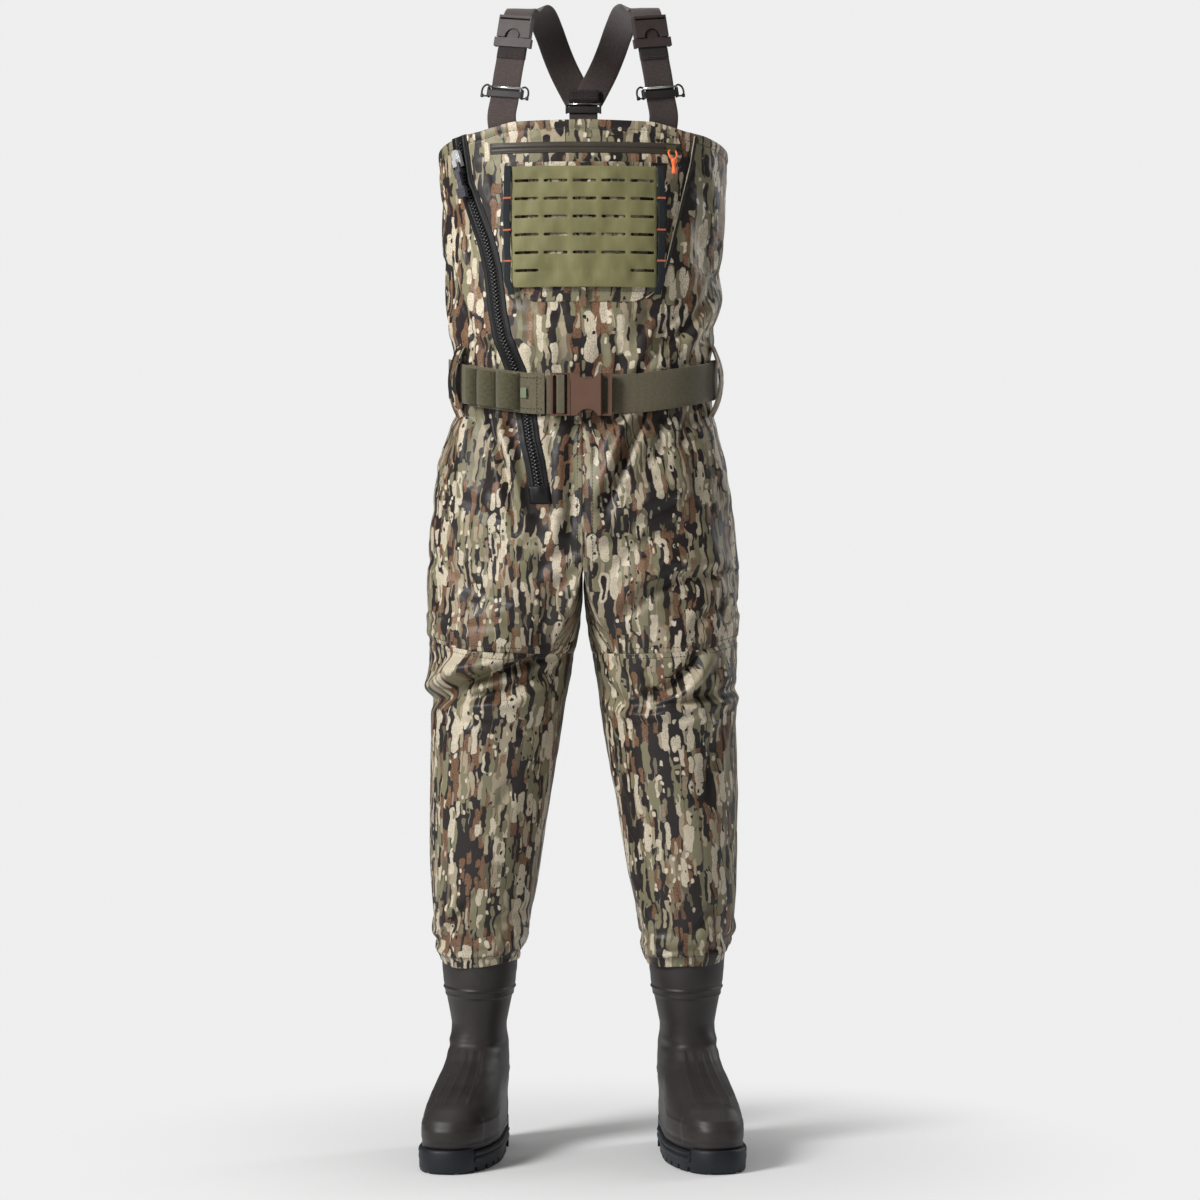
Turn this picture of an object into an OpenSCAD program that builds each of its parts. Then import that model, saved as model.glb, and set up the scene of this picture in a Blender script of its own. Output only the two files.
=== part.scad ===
// Bootfoot chest waders: bib, suspenders, belt, two jointed legs and two rubber boots.
// Frame: +Z up, -Y is the front, +X is the wearer's left. Origin on the ground midway
// between the boots. All sizes in millimetres.

/* [Bib] */
// Height of the top edge of the bib at the front centre
bib_top = 1325; // [1290:1:1350]
// Height of the middle of the wading belt at the front centre
belt_z = 977; // [960:1:990]
// Thickness of the padded garment walls
wall = 3; // [2:0.5:4]
// Angle of the front-to-back seam on the wearer's left, measured from the front
side_seam = 92; // [86:1:98]

/* [Belt] */
// Width of the belt webbing
belt_w = 50; // [38:1:52]
// Thickness of the belt webbing
belt_t = 2.4; // [1.6:0.1:2.6]
// Number of elastic loops sewn on the belt carrier
loop_count = 3; // [1:1:3]

/* [Suspenders] */
// Width of the strap webbing
strap_w = 40; // [30:1:40]
// Thickness of the strap webbing
strap_t = 1.8; // [1.2:0.1:2]

/* [Chest panel] */
// Width of the slotted attachment panel
molle_w = 178; // [160:1:184]
// Number of slots in each full row
slots_per_row = 5; // [3:1:6]
// Height of one slot
slot_h = 3.4; // [2.4:0.2:5]

/* [Zips] */
// Pitch of the moulded zip teeth
tooth_pitch = 4; // [3.5:0.5:8]
// Half width of the main zip tape
tape_hw = 13; // [9:0.5:14]

/* [Boots] */
// Outward turn of each boot, in degrees
toe_out = 11; // [0:1:13]
// Depth of the grooves between the outsole lugs
lug_depth = 6; // [3:0.5:8]
// Thickness of the outsole under the forefoot
sole_h = 26; // [22:1:28]

/* [Hidden] */
$fn = 40;

// Colours
camo = "#7d7f62";
dark = "#3a3330";
olive = "#7b7a50";
webbing = "#565040";
loop_olive = "#5f5d44";
tag_green = "#5f7f4f";
rubber = "#3a3431";
sole_black = "#20262c";
insole_grey = "#555a58";
brown = "#6d5142";
silver = "#c9c9c9";
pull_grey = "#4a494d";
orange = "#f0662a";
black = "#1c1c1e";

// ==== General helpers ====
function signed_pow(v, e) = sign(v) * pow(abs(v), e);
function mix(a, b, t) = a + (b - a) * t;
function clamp01(t) = min(1, max(0, t));
function smooth(t) = let (s = clamp01(t)) s * s * (3 - 2 * s);
function unit(v) = v / norm(v);
// the part of v square to the unit vector axis, made a unit vector
function square_to(v, axis) = unit(v - (v * axis) * axis);
function steps(a, b, n) = [for (i = [0:n]) mix(a, b, i / n)];
// low x of a part that starts near from x = 0 and runs outward on the given side
function start_x(side, near, width) = side > 0 ? near : -near - width;

module mir() { mirror([1, 0, 0]) children(); }
module box(corner, size) { translate(corner) cube(size); }
module rod_x(start, r, h) { translate(start) rotate([0, 90, 0]) cylinder(r = r, h = h); }
// runs towards -Y
module rod_front(start, r, h) { translate(start) rotate([90, 0, 0]) cylinder(r = r, h = h); }
// runs towards +Y
module rod_back(start, r, h) { translate(start) rotate([-90, 0, 0]) cylinder(r = r, h = h); }
module in_frame(x_axis, y_axis, z_axis, origin)
  multmatrix([for (k = [0:2]) [x_axis[k], y_axis[k], z_axis[k], origin[k]]]) children();

// Closed sheet between an outer and an inner grid of points. Rows run from low to high, columns
// anticlockwise seen from above. mask(i, j) leaves cells out, wrap closes the sheet round.
module sheet(outer, inner, wrap = false, mask = function (i, j) true) {
  rows = len(outer);
  cols = len(outer[0]);
  n = rows * cols;
  cell_cols = wrap ? cols : cols - 1;
  points = concat([for (row = outer) each row], [for (row = inner) each row]);
  filled = function (i, j)
    i >= 0 && i < rows - 1 && (wrap || (j >= 0 && j < cell_cols))
    && mask(i, wrap ? (j + cols) % cols : j);
  index = function (i, j) i * cols + (wrap ? (j + cols) % cols : j);
  // both faces of each filled cell, and a wall wherever its neighbour is empty
  faces = [for (i = [0:rows - 2]) for (j = [0:cell_cols - 1]) if (filled(i, j))
    let (a = index(i, j), b = index(i, j + 1), c = index(i + 1, j + 1), d = index(i + 1, j))
    each concat(
      [[a, d, c], [a, c, b], [n + a, n + b, n + c], [n + a, n + c, n + d]],
      filled(i - 1, j) ? [] : [[a, b, n + b], [a, n + b, n + a]],
      filled(i + 1, j) ? [] : [[d, n + d, n + c], [d, n + c, c]],
      filled(i, j - 1) ? [] : [[a, n + a, n + d], [a, n + d, d]],
      filled(i, j + 1) ? [] : [[b, c, n + c], [b, n + c, n + b]])];
  polyhedron(points = points, faces = faces, convexity = 8);
}
// sheet over point_at(u, v, off), u and v from 0 to 1, between two offsets from the surface
function patch_grid(point_at, nu, nv, off) =
  [for (i = [0:nv]) [for (j = [0:nu]) point_at(j / nu, i / nv, off)]];
module patch(point_at, nu, nv, outer = 0, inner = -wall)
  sheet(patch_grid(point_at, nu, nv, outer), patch_grid(point_at, nu, nv, inner));
// tube through the stations; outer_at and inner_at take an angle and a station
function tube_grid(point_at, stations, cols) =
  [for (s = stations) [for (j = [0:cols - 1]) point_at(j * 360 / cols, s)]];
module tube(outer_at, inner_at, stations, cols)
  sheet(tube_grid(outer_at, stations, cols), tube_grid(inner_at, stations, cols), wrap = true);

// ==== Torso surface: superellipse sections, angle 0 at the front, 90 at the wearer's left ====
section_power = 2.3;
// [height, half width]
torso_half_w = [
  [700, 200], [760, 200], [800, 197], [850, 193], [900, 186], [940, 176], [977, 166],
  [1010, 167], [1040, 169], [1080, 173], [1120, 177], [1180, 181], [1250, 184], [1300, 187],
  [1335, 187]];
// [height, depth ahead of y = 0]
torso_front = [
  [700, 114], [760, 116], [800, 119], [850, 120], [900, 118], [940, 114], [977, 108],
  [1010, 112], [1060, 116], [1120, 118], [1180, 120], [1250, 122], [1335, 121]];
// [height, depth behind y = 0]
torso_back = [
  [700, 116], [760, 118], [800, 122], [850, 124], [900, 118], [940, 108], [977, 100],
  [1010, 101], [1060, 104], [1120, 108], [1180, 110], [1250, 110], [1335, 106]];
// main zip: [height, distance to the wearer's right of centre]
zip_line = [
  [835, 52], [852, 54], [891, 60], [921, 67], [951, 71], [1005, 83], [1020, 89], [1050, 102],
  [1083, 109], [1138, 116], [1175, 125], [1212, 138], [1249, 150], [1310, 157], [1335, 158]];
function zip_x(z) = -lookup(z, zip_line);

// angle from the front, 0 to 180, whichever side it is on
function fold_angle(th) = abs(th) > 180 ? 360 - abs(th) : abs(th);
function belt_mid_z(th) = lookup(fold_angle(th), [
  [0, belt_z], [20, belt_z + 2], [60, belt_z + 17], [90, belt_z + 28], [180, belt_z + 33]]);
function top_edge_z(th) = lookup(fold_angle(th), [
  [0, bib_top], [25, bib_top - 2], [41, bib_top - 12], [54, bib_top - 16], [75, bib_top - 27],
  [90, bib_top - 34], [120, bib_top - 53], [150, bib_top - 63], [180, bib_top - 67]]);
// the belt presses the cloth flat: heights near it share the section at its middle
function pressed_z(z, mid) = mid + (z - mid) * smooth((abs(z - mid) - 26) / 36);
// the garment lies flatter along the upper zip, so that the slider runs straight
function zip_dip(x, z) = z > 1020 && z < 1300 && x < 0
  ? 3.7 * exp(-pow((x - zip_x(z)) / 34, 2)) * sin(180 * (1300 - z) / 280) : 0;
function torso_pt(th, z, off = 0) =
  let (c = cos(th),
       across = signed_pow(sin(th), 2 / section_power),
       level = pressed_z(z, belt_mid_z(th)),
       half_w = lookup(level, torso_half_w),
       depth = lookup(level, c > 0 ? torso_front : torso_back),
       grow = off - (c > 0 ? zip_dip(half_w * across, z) : 0))
  [(half_w + grow) * across, -(depth + grow) * signed_pow(c, 2 / section_power), z];
// angle and surface point at a given x on the front
function front_angle(x, z) =
  let (half_w = lookup(pressed_z(z, belt_z + 4), torso_half_w))
  sign(x) * asin(pow(min(1, abs(x) / half_w), section_power / 2));
function front_pt(x, z, off = 0) = torso_pt(front_angle(x, z), z, off);

// layer on the front of the torso, between two offsets
function front_grid(xs, zs, off) = [for (z = zs) [for (x = xs) front_pt(x, z, off)]];
module front_layer(xs, zs, outer, inner)
  sheet(front_grid(xs, zs, outer), front_grid(xs, zs, inner));

// ==== Bib, from the waist seam up ====
seam = 0.6;          // distance of a panel edge from its horizontal seam
seam_angle = 0.4;    // angular gap at the bib's back panel edges
right_seam = -104;
zip_gap = 4.5;       // distance of the panels from the zip's centre line
// point between two edges, each a function giving the angle at a height
function bib_pt(u, v, from_edge, to_edge, off) =
  let (angle_at = function (z) mix(from_edge(z), to_edge(z), u),
       low_z = mix(from_edge(belt_mid_z(angle_at(985))), to_edge(belt_mid_z(angle_at(985))), u),
       z = mix(belt_mid_z(low_z) + seam, top_edge_z(angle_at(1300)), v))
  torso_pt(angle_at(z), z, off);

module bib_front_panel() color(camo) patch(
  function (u, v, off) bib_pt(u, v,
    function (z) front_angle(zip_x(z) + zip_gap, z), function (z) side_seam, off),
  17, 10);
module bib_side_panel_right() color(camo) patch(
  function (u, v, off) bib_pt(u, v,
    function (z) right_seam, function (z) front_angle(zip_x(z) - zip_gap, z), off),
  7, 10);
module bib_back_panel() color(camo) patch(
  function (u, v, off)
    let (th = mix(side_seam + seam_angle, 360 + right_seam - seam_angle, u))
    torso_pt(th, mix(belt_mid_z(th) + seam, top_edge_z(th), v), off),
  16, 8);

// ==== Hips, from the waist seam down to the leg line ====
hip_z = 860;
module hip_quarter(from, to) patch(
  function (u, v, off)
    let (th = mix(from, to, u))
    torso_pt(th, mix(hip_z, belt_mid_z(th) - seam, v), off),
  9, 10);
module hip_front_left() color(camo) hip_quarter(0.4, 89.8);
module hip_front_right() color(camo) mir() hip_front_left();
module seat_panel_left() color(camo) hip_quarter(90.2, 179.6);
module seat_panel_right() color(camo) mir() seat_panel_left();

// Fabric loops that arch over the belt at the sides and back
function belt_loop_grid(from, to, reach, base) =
  [for (i = [0:8]) [for (th = [from, to])
    torso_pt(th, belt_mid_z((from + to) / 2) - reach * (1 - i / 4),
             base + 12.9 * sin(i * 22.5))]];
module belt_loop(from, to)
  sheet(belt_loop_grid(from, to, 44, 3.4), belt_loop_grid(from, to, 44 * 0.97, 1.4));
module belt_loops() color(camo) {
  belt_loop(71, 81);
  belt_loop(-68, -60);
  belt_loop(176, 184);
}

// ==== Chest pocket and attachment panel ====
pocket_x = 2;        // centre of the pocket
pocket_z0 = 1094;
pocket_z1 = 1271;
// [height, distance of the edge from the pocket's centre]
pocket_right = [[1094, 78], [1110, 85], [1150, 92], [1271, 110]];
pocket_left = [[1094, 80], [1116, 95], [1150, 104], [1271, 130]];
pocket_off = 3.2;
module chest_pocket() color(camo) patch(
  function (u, v, off)
    let (z = mix(pocket_z0, pocket_z1, v),
         x = pocket_x + mix(-lookup(z, pocket_right), lookup(z, pocket_left), u),
         bulge = 4 * pow(sin(180 * v), 0.5) * pow(sin(180 * u), 0.5))
    front_pt(x, z, off == pocket_off ? off + bulge : off),
  12, 8, pocket_off, 0.6);

molle_z0 = 1113;
molle_z1 = 1265;
molle_rows = 6;
molle_row_z = 21;        // lowest row above the panel's lower edge
molle_row_pitch = 22.6;
molle_in = 9.4;          // offset of the panel's back from the torso
// grid lines at the panel's edges and at both edges of each slot
molle_xs = [
  for (u = concat(
    [0],
    [for (i = [0:slots_per_row - 1]) for (edge = [0.10, 0.92]) (i + edge) / slots_per_row],
    [1])) pocket_x + (u - 0.5) * molle_w];
molle_zs = concat(
  [molle_z0],
  [for (k = [0:molle_rows - 1]) for (side = [-1, 1])
    molle_z0 + molle_row_z + k * molle_row_pitch + side * slot_h / 2],
  [molle_z1]);
// the lowest row has only its two end slots
module molle_panel() color(olive) sheet(
  front_grid(molle_xs, molle_zs, 11), front_grid(molle_xs, molle_zs, molle_in),
  mask = function (i, j)
    !(i % 2 == 1 && j % 2 == 1 && (i > 1 || j == 1 || j == 2 * slots_per_row - 1)));

// Webbing down both sides of the panel, with three short bars across each
side_web_xs = [for (side = [-1, 1]) pocket_x + side * (molle_w / 2 + 4.9)];
module pocket_side_webbing() color(black) for (x = side_web_xs)
  front_layer([x - 4.5, x + 4.5], steps(molle_z0 - 4, molle_z1 - 2, 6), 11.2, molle_in);
module webbing_bartacks() color(orange) for (x = side_web_xs) for (z = [1147, 1186, 1226])
  front_layer([x - 4.4, x + 4.4], [z - 0.9, z + 0.9], 12.3, 11.5);

// ==== Chest pocket zip, across the top of the bib ====
pocket_zip_z = 1289.5;
pocket_zip_xs = steps(-114, 120, 12);
module pocket_zip_tape() color(dark) for (edges = [[-6.5, -0.4], [0.4, 6.5]])
  front_layer(pocket_zip_xs, [for (d = edges) pocket_zip_z + d], 2.2, 0.6);

// The bib's front is nearly a circular arc here, so the slider turns about that arc's vertical
// axis. The radius comes from the arc's half chord and its rise.
pocket_slider_x = 112;
pocket_slider_off = 6.9;
arc_front_y = front_pt(0, pocket_zip_z, pocket_slider_off)[1];
arc_rise = front_pt(pocket_slider_x, pocket_zip_z, pocket_slider_off)[1] - arc_front_y;
arc_r = (pocket_slider_x * pocket_slider_x + arc_rise * arc_rise) / (2 * arc_rise);
pocket_eye = [0, -4.6, -3.4];      // where the cord passes through the slider
module at_pocket_slider()
  translate([0, arc_front_y + arc_r, pocket_zip_z])
    rotate([0, 0, asin(pocket_slider_x / arc_r)]) translate([0, -arc_r, 0]) children();
module pocket_zip_slider() color(silver) at_pocket_slider() {
  difference() {
    box([-6, -2.4, -4], [12, 4.8, 8]);
    box([-7, -0.6, -1], [14, 4, 2]);
  }
  rod_front([3, -2.2, 0], r = 3.2, h = 0.8);
  difference() {
    box([-3.2, -6.1, -4.6], [6.4, 3.9, 2.4]);
    rod_x(pocket_eye - [4, 0, 0], r = 0.85, h = 9);
  }
}
module pocket_zip_cord() color(orange) at_pocket_slider() {
  rod_x(pocket_eye - [5.2, 0, 0], r = 0.75, h = 10.4);
  for (side = [-1, 1])
    translate(pocket_eye + [side * 5, 0, 0]) rotate([-26, 0, 0])
      translate([0, 0, -12]) cylinder(r = 1.5, h = 12.4);
  translate([0, -10, -15]) sphere(r = 4.6);
  translate([0, -10, -30]) cylinder(r1 = 3, r2 = 2.4, h = 13);
  translate([0, -10, -31]) sphere(r = 3.9);
}

// ==== Main zip ====
zip_z0 = 852;
zip_z1 = 1306;
tooth_z0 = zip_z0 + 10;
tooth_z1 = zip_z1 - 4;
function zip_grid(xs, zs, off) = [for (z = zs) [for (x = xs) front_pt(zip_x(z) + x, z, off)]];
module main_zip_tape() color(black) {
  xs = [-tape_hw, -5, 5, tape_hw];
  zs = steps(zip_z0, zip_z1, 44);
  sheet(zip_grid(xs, zs, 1.9), zip_grid(xs, zs, 0.9));
}
// frame on the zip line: [origin, axis across, axis into the body, axis up the zip]
function zip_frame(z) =
  let (off = 2.1,
       origin = front_pt(zip_x(z), z, off),
       up = unit(front_pt(zip_x(z + 2), z + 2, off) - origin),
       inward = unit(cross(up, unit(front_pt(zip_x(z) + 2, z, off) - origin))))
  [origin, unit(cross(inward, up)), inward, up];
module main_zip_teeth() color(black)
  for (k = [0:floor((tooth_z1 - tooth_z0) / tooth_pitch)]) {
    frame = zip_frame(tooth_z0 + k * tooth_pitch);
    side = k % 2 == 0 ? -1 : 1;
    in_frame(frame[1], frame[2], frame[3], frame[0])
      box([start_x(side, -2, 6.2), -2.7, -1.3], [6.2, 2.3, 2.6]);
  }
// cover over the zip's lower end, stepped in behind to clear the tape
module main_zip_garage() color(black) {
  xs = [-14, 0, 14];
  sheet(zip_grid(xs, [838, 850, 862], 6.6),
        concat(zip_grid(xs, [838], 2.1), zip_grid(xs, [850, 862], 5.2)));
}
// The slider rests at the closed top; its run is straight down to just above the belt.
slider_z = 1277;
slider_off = 7.9;
slider_top = front_pt(zip_x(slider_z), slider_z, slider_off);
slider_up = unit(slider_top - front_pt(zip_x(1062), 1062, slider_off));
slider_in = square_to(zip_frame(slider_z)[2], slider_up);
slider_eye = [0, -6, -4.5];        // where the pull hangs
module at_slider()
  in_frame(cross(slider_in, slider_up), slider_in, slider_up, slider_top) children();
module main_zip_slider() color(silver) at_slider() {
  difference() {
    union() {
      box([-6.5, -3, -8], [13, 5, 18]);
      rod_front([0, 2, 8], r = 6.5, h = 5);
    }
    rod_front([0, 3, 3], r = 1.6, h = 8);
  }
  difference() {
    box([-3.5, -8.5, -8], [7, 6, 9]);
    rod_x(slider_eye - [5, 0, 0], r = 1.7, h = 10);
  }
}
module main_zip_pull() color(pull_grey) at_slider() {
  rod_x(slider_eye - [3.4, 0, 0], r = 1.5, h = 6.8);
  for (side = [-1, 1]) {
    box([start_x(side, 3.8, 2.1), -7.5, -14], [2.1, 3, 11]);
    rod_x(slider_eye + [start_x(side, 3.1, 2.2), 0, 0], r = 1.5, h = 2.2);
  }
  box([-5.9, -7.5, -15.5], [11.8, 3, 4]);
  box([-3.6, -7.6, -36], [7.2, 3.2, 22]);
  box([-7.2, -9, -48], [14.4, 5.6, 13]);
}

// ==== Belt ====
buckle_x0 = -41;
buckle_x1 = 37;
buckle_h = 54;
buckle_t = 13;
belt_off = 5.6;      // the belt stands this far off the cloth, over the zip teeth
belt_end_angle = front_angle(-52, belt_z);
// height runs from -1 at the belt's lower edge to 1 at its upper edge
function belt_pt(th, height, off) =
  let (z = belt_mid_z(th), p = torso_pt(th, z, off))
  [p[0], p[1], z + height * belt_w / 2];
module belt_band(from, to, reach, n, inner, t) patch(
  function (u, v, off) belt_pt(mix(from, to, u), mix(-reach, reach, v), off),
  n, 1, inner + t, inner);
module belt_webbing() color(webbing)
  belt_band(front_angle(buckle_x1 - 7, belt_z), 360 + belt_end_angle, 1, 44, belt_off, belt_t);
module belt_carrier() color(olive)
  belt_band(front_angle(-138, belt_z + 15), belt_end_angle, 1.04, 10,
            belt_off + 0.4 + belt_t, 1.8);

// [right end x, left end x] of each loop
shell_loops = [[-102, -76.5], [-124.5, -103], [-137.2, -125.5]];
shell_loop_off = belt_off + 6.8;
function shell_loop_grid(from, to, base, rise) =
  [for (height = [-0.86, 0.86]) [for (i = [0:6])
    belt_pt(mix(from, to, i / 6), height, base + rise * sin(i * 30))]];
module belt_shell_loops() color(loop_olive) for (k = [0:loop_count - 1]) {
  from = front_angle(shell_loops[k][0], belt_z + 8);
  to = front_angle(shell_loops[k][1], belt_z + 6);
  sheet(shell_loop_grid(from, to, shell_loop_off + 1.6, 8),
        shell_loop_grid(from, to, shell_loop_off, 8 * 0.93));
}
module belt_tag() color(tag_green)
  translate(belt_pt(front_angle(-70, belt_z), 0, belt_off + 6)) rotate([0, 0, -14])
    box([-5, -1.8, -6.5], [8, 1.4, 13]);

// Buckle, centred on its own middle plane 1.2 clear of the belt
buckle_y = -(lookup(belt_z, torso_front) + belt_off + belt_t) - 1.2 - buckle_t / 2;
module at_buckle() translate([0, buckle_y, belt_z]) children();
module belt_buckle_socket() color(brown) at_buckle() difference() {
  union() {
    box([-15, -buckle_t / 2, -buckle_h / 2], [38, buckle_t, buckle_h]);
    box([buckle_x1 - 15, -4, -buckle_h / 2], [15, 7, buckle_h]);
  }
  box([-16, -4, -23], [34, 8, 46]);
  // finger cutouts above and below
  for (side = [-1, 1]) rod_back([6, -8, side * 33], r = 14.5, h = 16);
  box([25, -8, -25.2], [7, 16, 50.4]);
}
module belt_buckle_plug() color(brown) at_buckle() {
  difference() {
    box([buckle_x0, -5, -buckle_h / 2], [25.4, 10, buckle_h]);
    box([-37.5, -6, -25], [8, 12, 50]);
    box([-26, -6, -25], [6.5, 12, 50]);
  }
  box([-16, -3.4, -3], [30, 6.8, 6]);
}
// sprung latch arm, hinged at the plug's base
module latch_arm() {
  translate([-12.4, 0, 14]) rotate([90, 0, 0]) cylinder(r = 2.6, h = 6.6, center = true);
  box([-12, -3.3, 11.6], [20, 6.6, 4.8]);
  difference() {
    box([3, -3.3, 11.6], [12, 6.6, 10.6]);
    rod_back([17.5, -5, 21], r = 5.5, h = 12);
  }
}
module belt_latch_upper() color(brown) at_buckle() latch_arm();
module belt_latch_lower() color(brown) at_buckle() mirror([0, 0, 1]) latch_arm();
// end of the belt, folded round the plug's middle bar
module belt_end_loop() color(webbing) at_buckle() difference() {
  union() {
    box([-33, -7.6, -24.6], [10.6, 2, 49.2]);
    for (x = [-33, -24.4]) box([x, -7.6, -24.6], [2, 14.1, 49.2]);
    box([-46, 5.2, -24.6], [23.6, 1.3, 49.2]);
  }
  box([-31, -5.6, -26], [6.6, 10.8, 52]);
}

// ==== Suspenders (wearer's left, mirrored for the right) ====
// flat strap along a path, with half-width and half-thickness vectors at each point
function ribbon_grid(path, across, outward, side) =
  [for (i = [0:len(path) - 1])
    [for (edge = [-1, 1]) path[i] + edge * across[i] + side * outward[i]]];
module ribbon(path, across, outward)
  sheet(ribbon_grid(path, across, outward, 1), ribbon_grid(path, across, outward, -1));

strap_x = 103;
strap_foot = [strap_x, -101, 1330];
clip_at = [87, -94, 1434];
strap_up = unit(clip_at - strap_foot);
// sewn on inside the bib, turned to follow it
sewn_z = 1300;
sewn_off = -wall - 3.2;
sewn_across = unit(front_pt(strap_x + 14, sewn_z) - front_pt(strap_x - 14, sewn_z));
strap_across = square_to(sewn_across, strap_up);
strap_back = unit(cross(strap_up, strap_across));     // points to the back
module front_strap_left() color(dark) ribbon(
  [front_pt(strap_x, 1262, sewn_off), front_pt(strap_x, sewn_z, sewn_off),
   strap_foot, strap_foot + strap_up * 45, clip_at - strap_up * 24],
  [for (i = [0:4]) (i < 2 ? sewn_across : strap_across) * strap_w / 2],
  [for (i = [0:4]) strap_back * -strap_t / 2]);
module front_strap_right() color(dark) mir() front_strap_left();

// frame on the strap: x across it, -y to the front, z along it
module on_strap(distance)
  in_frame(strap_across, strap_back, strap_up, strap_foot + strap_up * distance) children();
module strap_adjuster_left() color(black) on_strap(32) {
  for (side = [-1, 1]) translate([side * 23, 0, 0]) difference() {
    box([-1.8, -5, -7], [3.6, 8, 15]);
    box([-3, -2, 1], [6, 3, 3]);
  }
  rod_x([-22, -4.2, 6], r = 1.5, h = 44);
  box([-22, -4.6, -6.6], [44, 2.4, 9]);
  box([-22, 1.9, -4], [44, 1, 6]);
  // curved ears at the sides
  for (side = [-1, 1]) intersection() {
    translate([side * 24.4, -1, 0]) rotate([90, 0, 0]) difference() {
      cylinder(r = 8.5, h = 2.4, center = true);
      cylinder(r = 6.2, h = 6, center = true);
    }
    box([start_x(side, 24.6, 20), -9, -4], [20, 16, 16]);
  }
}
module strap_adjuster_right() color(black) mir() strap_adjuster_left();

// Shoulder clip: flat socket with a round thumb window, and a plug on the end of the front strap
clip_distance = norm(clip_at - strap_foot);
module clip_socket_left() color(dark) on_strap(clip_distance) difference() {
  box([-22, -6, -2], [44, 11, 28]);
  box([-18.4, -3.2, -3], [36.8, 5.6, 19]);
  translate([0, -4, -2]) rotate([90, 0, 0]) cylinder(r = 11, h = 8, center = true);
  box([-20.4, -2, 19.6], [40.8, 4.4, 3.4]);
  box([-20.4, -7, 20.2], [40.8, 14, 2.4]);
  box([-20.8, -1.7, 18.4], [41.6, 8, 9]);
}
module clip_socket_right() color(dark) mir() clip_socket_left();
module clip_plug_left() color(dark) on_strap(clip_distance) {
  for (side = [-1, 1]) box([start_x(side, 21.2, 3.8), -4.4, -14], [3.8, 7.2, 11.4]);
  box([-21.4, -4.4, -14], [42.8, 3, 11.4]);
  box([-21.4, 0, -5], [42.8, 2.8, 2.4]);
  box([-17, -2.6, -4], [34, 4.2, 15]);
  rod_front([0, -2.6, 1], r = 7.4, h = 1.6);
}
module clip_plug_right() color(dark) mir() clip_plug_left();

// Back strap: over the shoulder and down to the junction
back_start = clip_at + strap_up * 22;
back_path = [
  back_start, back_start + [-2.5, 6, 9], [76, -62, 1470], [70, -38, 1476], [62, -14, 1479],
  [54, 14, 1476], [46, 44, 1462], [37, 68, 1440], [27, 84, 1418], [13, 94, 1392]];
back_last = len(back_path) - 1;
function back_along(i) = unit(back_path[min(back_last, i + 1)] - back_path[max(0, i - 1)]);
function back_across(i) =
  square_to(mix(strap_across, [0.82, 0.0, -0.5], smooth(i / 5)), back_along(i));
module back_strap_left() color(dark) ribbon(
  back_path,
  [for (i = [0:back_last]) back_across(i) * strap_w / 2],
  [for (i = [0:back_last]) -cross(back_along(i), back_across(i)) * strap_t / 2]);
// set back so that it crosses behind the left strap
module back_strap_right() color(dark) mir() translate(strap_back * 4.5) back_strap_left();
module strap_junction() color(dark) translate([0, 92, 1378.4]) {
  for (y = [-5.2, 8.2]) box([-20, y, 0], [40, 2, 14.6]);
  box([-20, -5.2, 0], [40, 15.4, 1.6]);
}
// [y, z] of the rear strap, from the bib up to the junction
rear_path = [[103, 1216], [103, 1250], [93, 1290], [93, 1376]];
function rear_grid(off) = [for (p = rear_path) [for (x = [19, -19]) [x, p[0] + off, p[1]]]];
module rear_strap() color(dark) sheet(rear_grid(1), rear_grid(1 + strap_t));
module rear_adjuster() color(black) translate([0, 94.9, 1369.6]) {
  for (side = [-1, 1]) box([side * 22 - 1.8, -5, -7], [3.6, 9, 15]);
  rod_x([-21, -3.6, 5], r = 1.5, h = 42);
  box([-21, -4.4, -6.4], [42, 2.2, 8]);
  box([-21, 1.9, -4], [42, 1, 6]);
}

// ==== Legs (wearer's left, mirrored for the right) ====
// [height, x of the centre]
leg_x = [
  [240, 134], [262, 134], [288, 134], [340, 131.5], [392, 128], [444, 124], [496, 120],
  [548, 115], [600, 110], [652, 105], [730, 104], [760, 102]];
// [height, half width]
leg_half_w = [
  [240, 55], [262, 57], [288, 60.5], [340, 66], [392, 71], [444, 75], [496, 80],
  [548, 84], [600, 87.5], [652, 94], [730, 98], [760, 99]];
// [height, half depth]
leg_half_d = [
  [240, 66], [262, 69], [288, 73], [340, 80], [392, 86], [444, 90], [496, 93],
  [548, 95], [600, 98], [652, 106], [730, 114], [760, 117]];
// [height, y of the centre]
leg_y = [
  [240, 24], [288, 21], [340, 19], [392, 17], [444, 14], [496, 9], [548, 4], [600, 1],
  [652, 0], [760, 0]];
function leg_pt(th, z, off) = [
  lookup(z, leg_x) + (lookup(z, leg_half_w) + off) * signed_pow(sin(th), 0.92),
  lookup(z, leg_y) - (lookup(z, leg_half_d) + off) * signed_pow(cos(th), 0.92),
  z];
inner_angle = 42;    // the inner part of the leg reaches this far from front and back
function torso_share(z) = smooth((z - 640) / 120);
// keeps a point on the leg's own side of the middle plane
function own_side(p, off) = [max(1.2 - off * 0.9, p[0]), p[1], p[2]];
// outer part: u = 0 at the front seam, 1 at the back seam; above the crotch it is half the torso
function leg_outer(u, z, off) = own_side(
  mix(leg_pt(-inner_angle + u * (180 + 2 * inner_angle), z, off),
      torso_pt(0.5 + u * 179, z, off), torso_share(z)), off);
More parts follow.
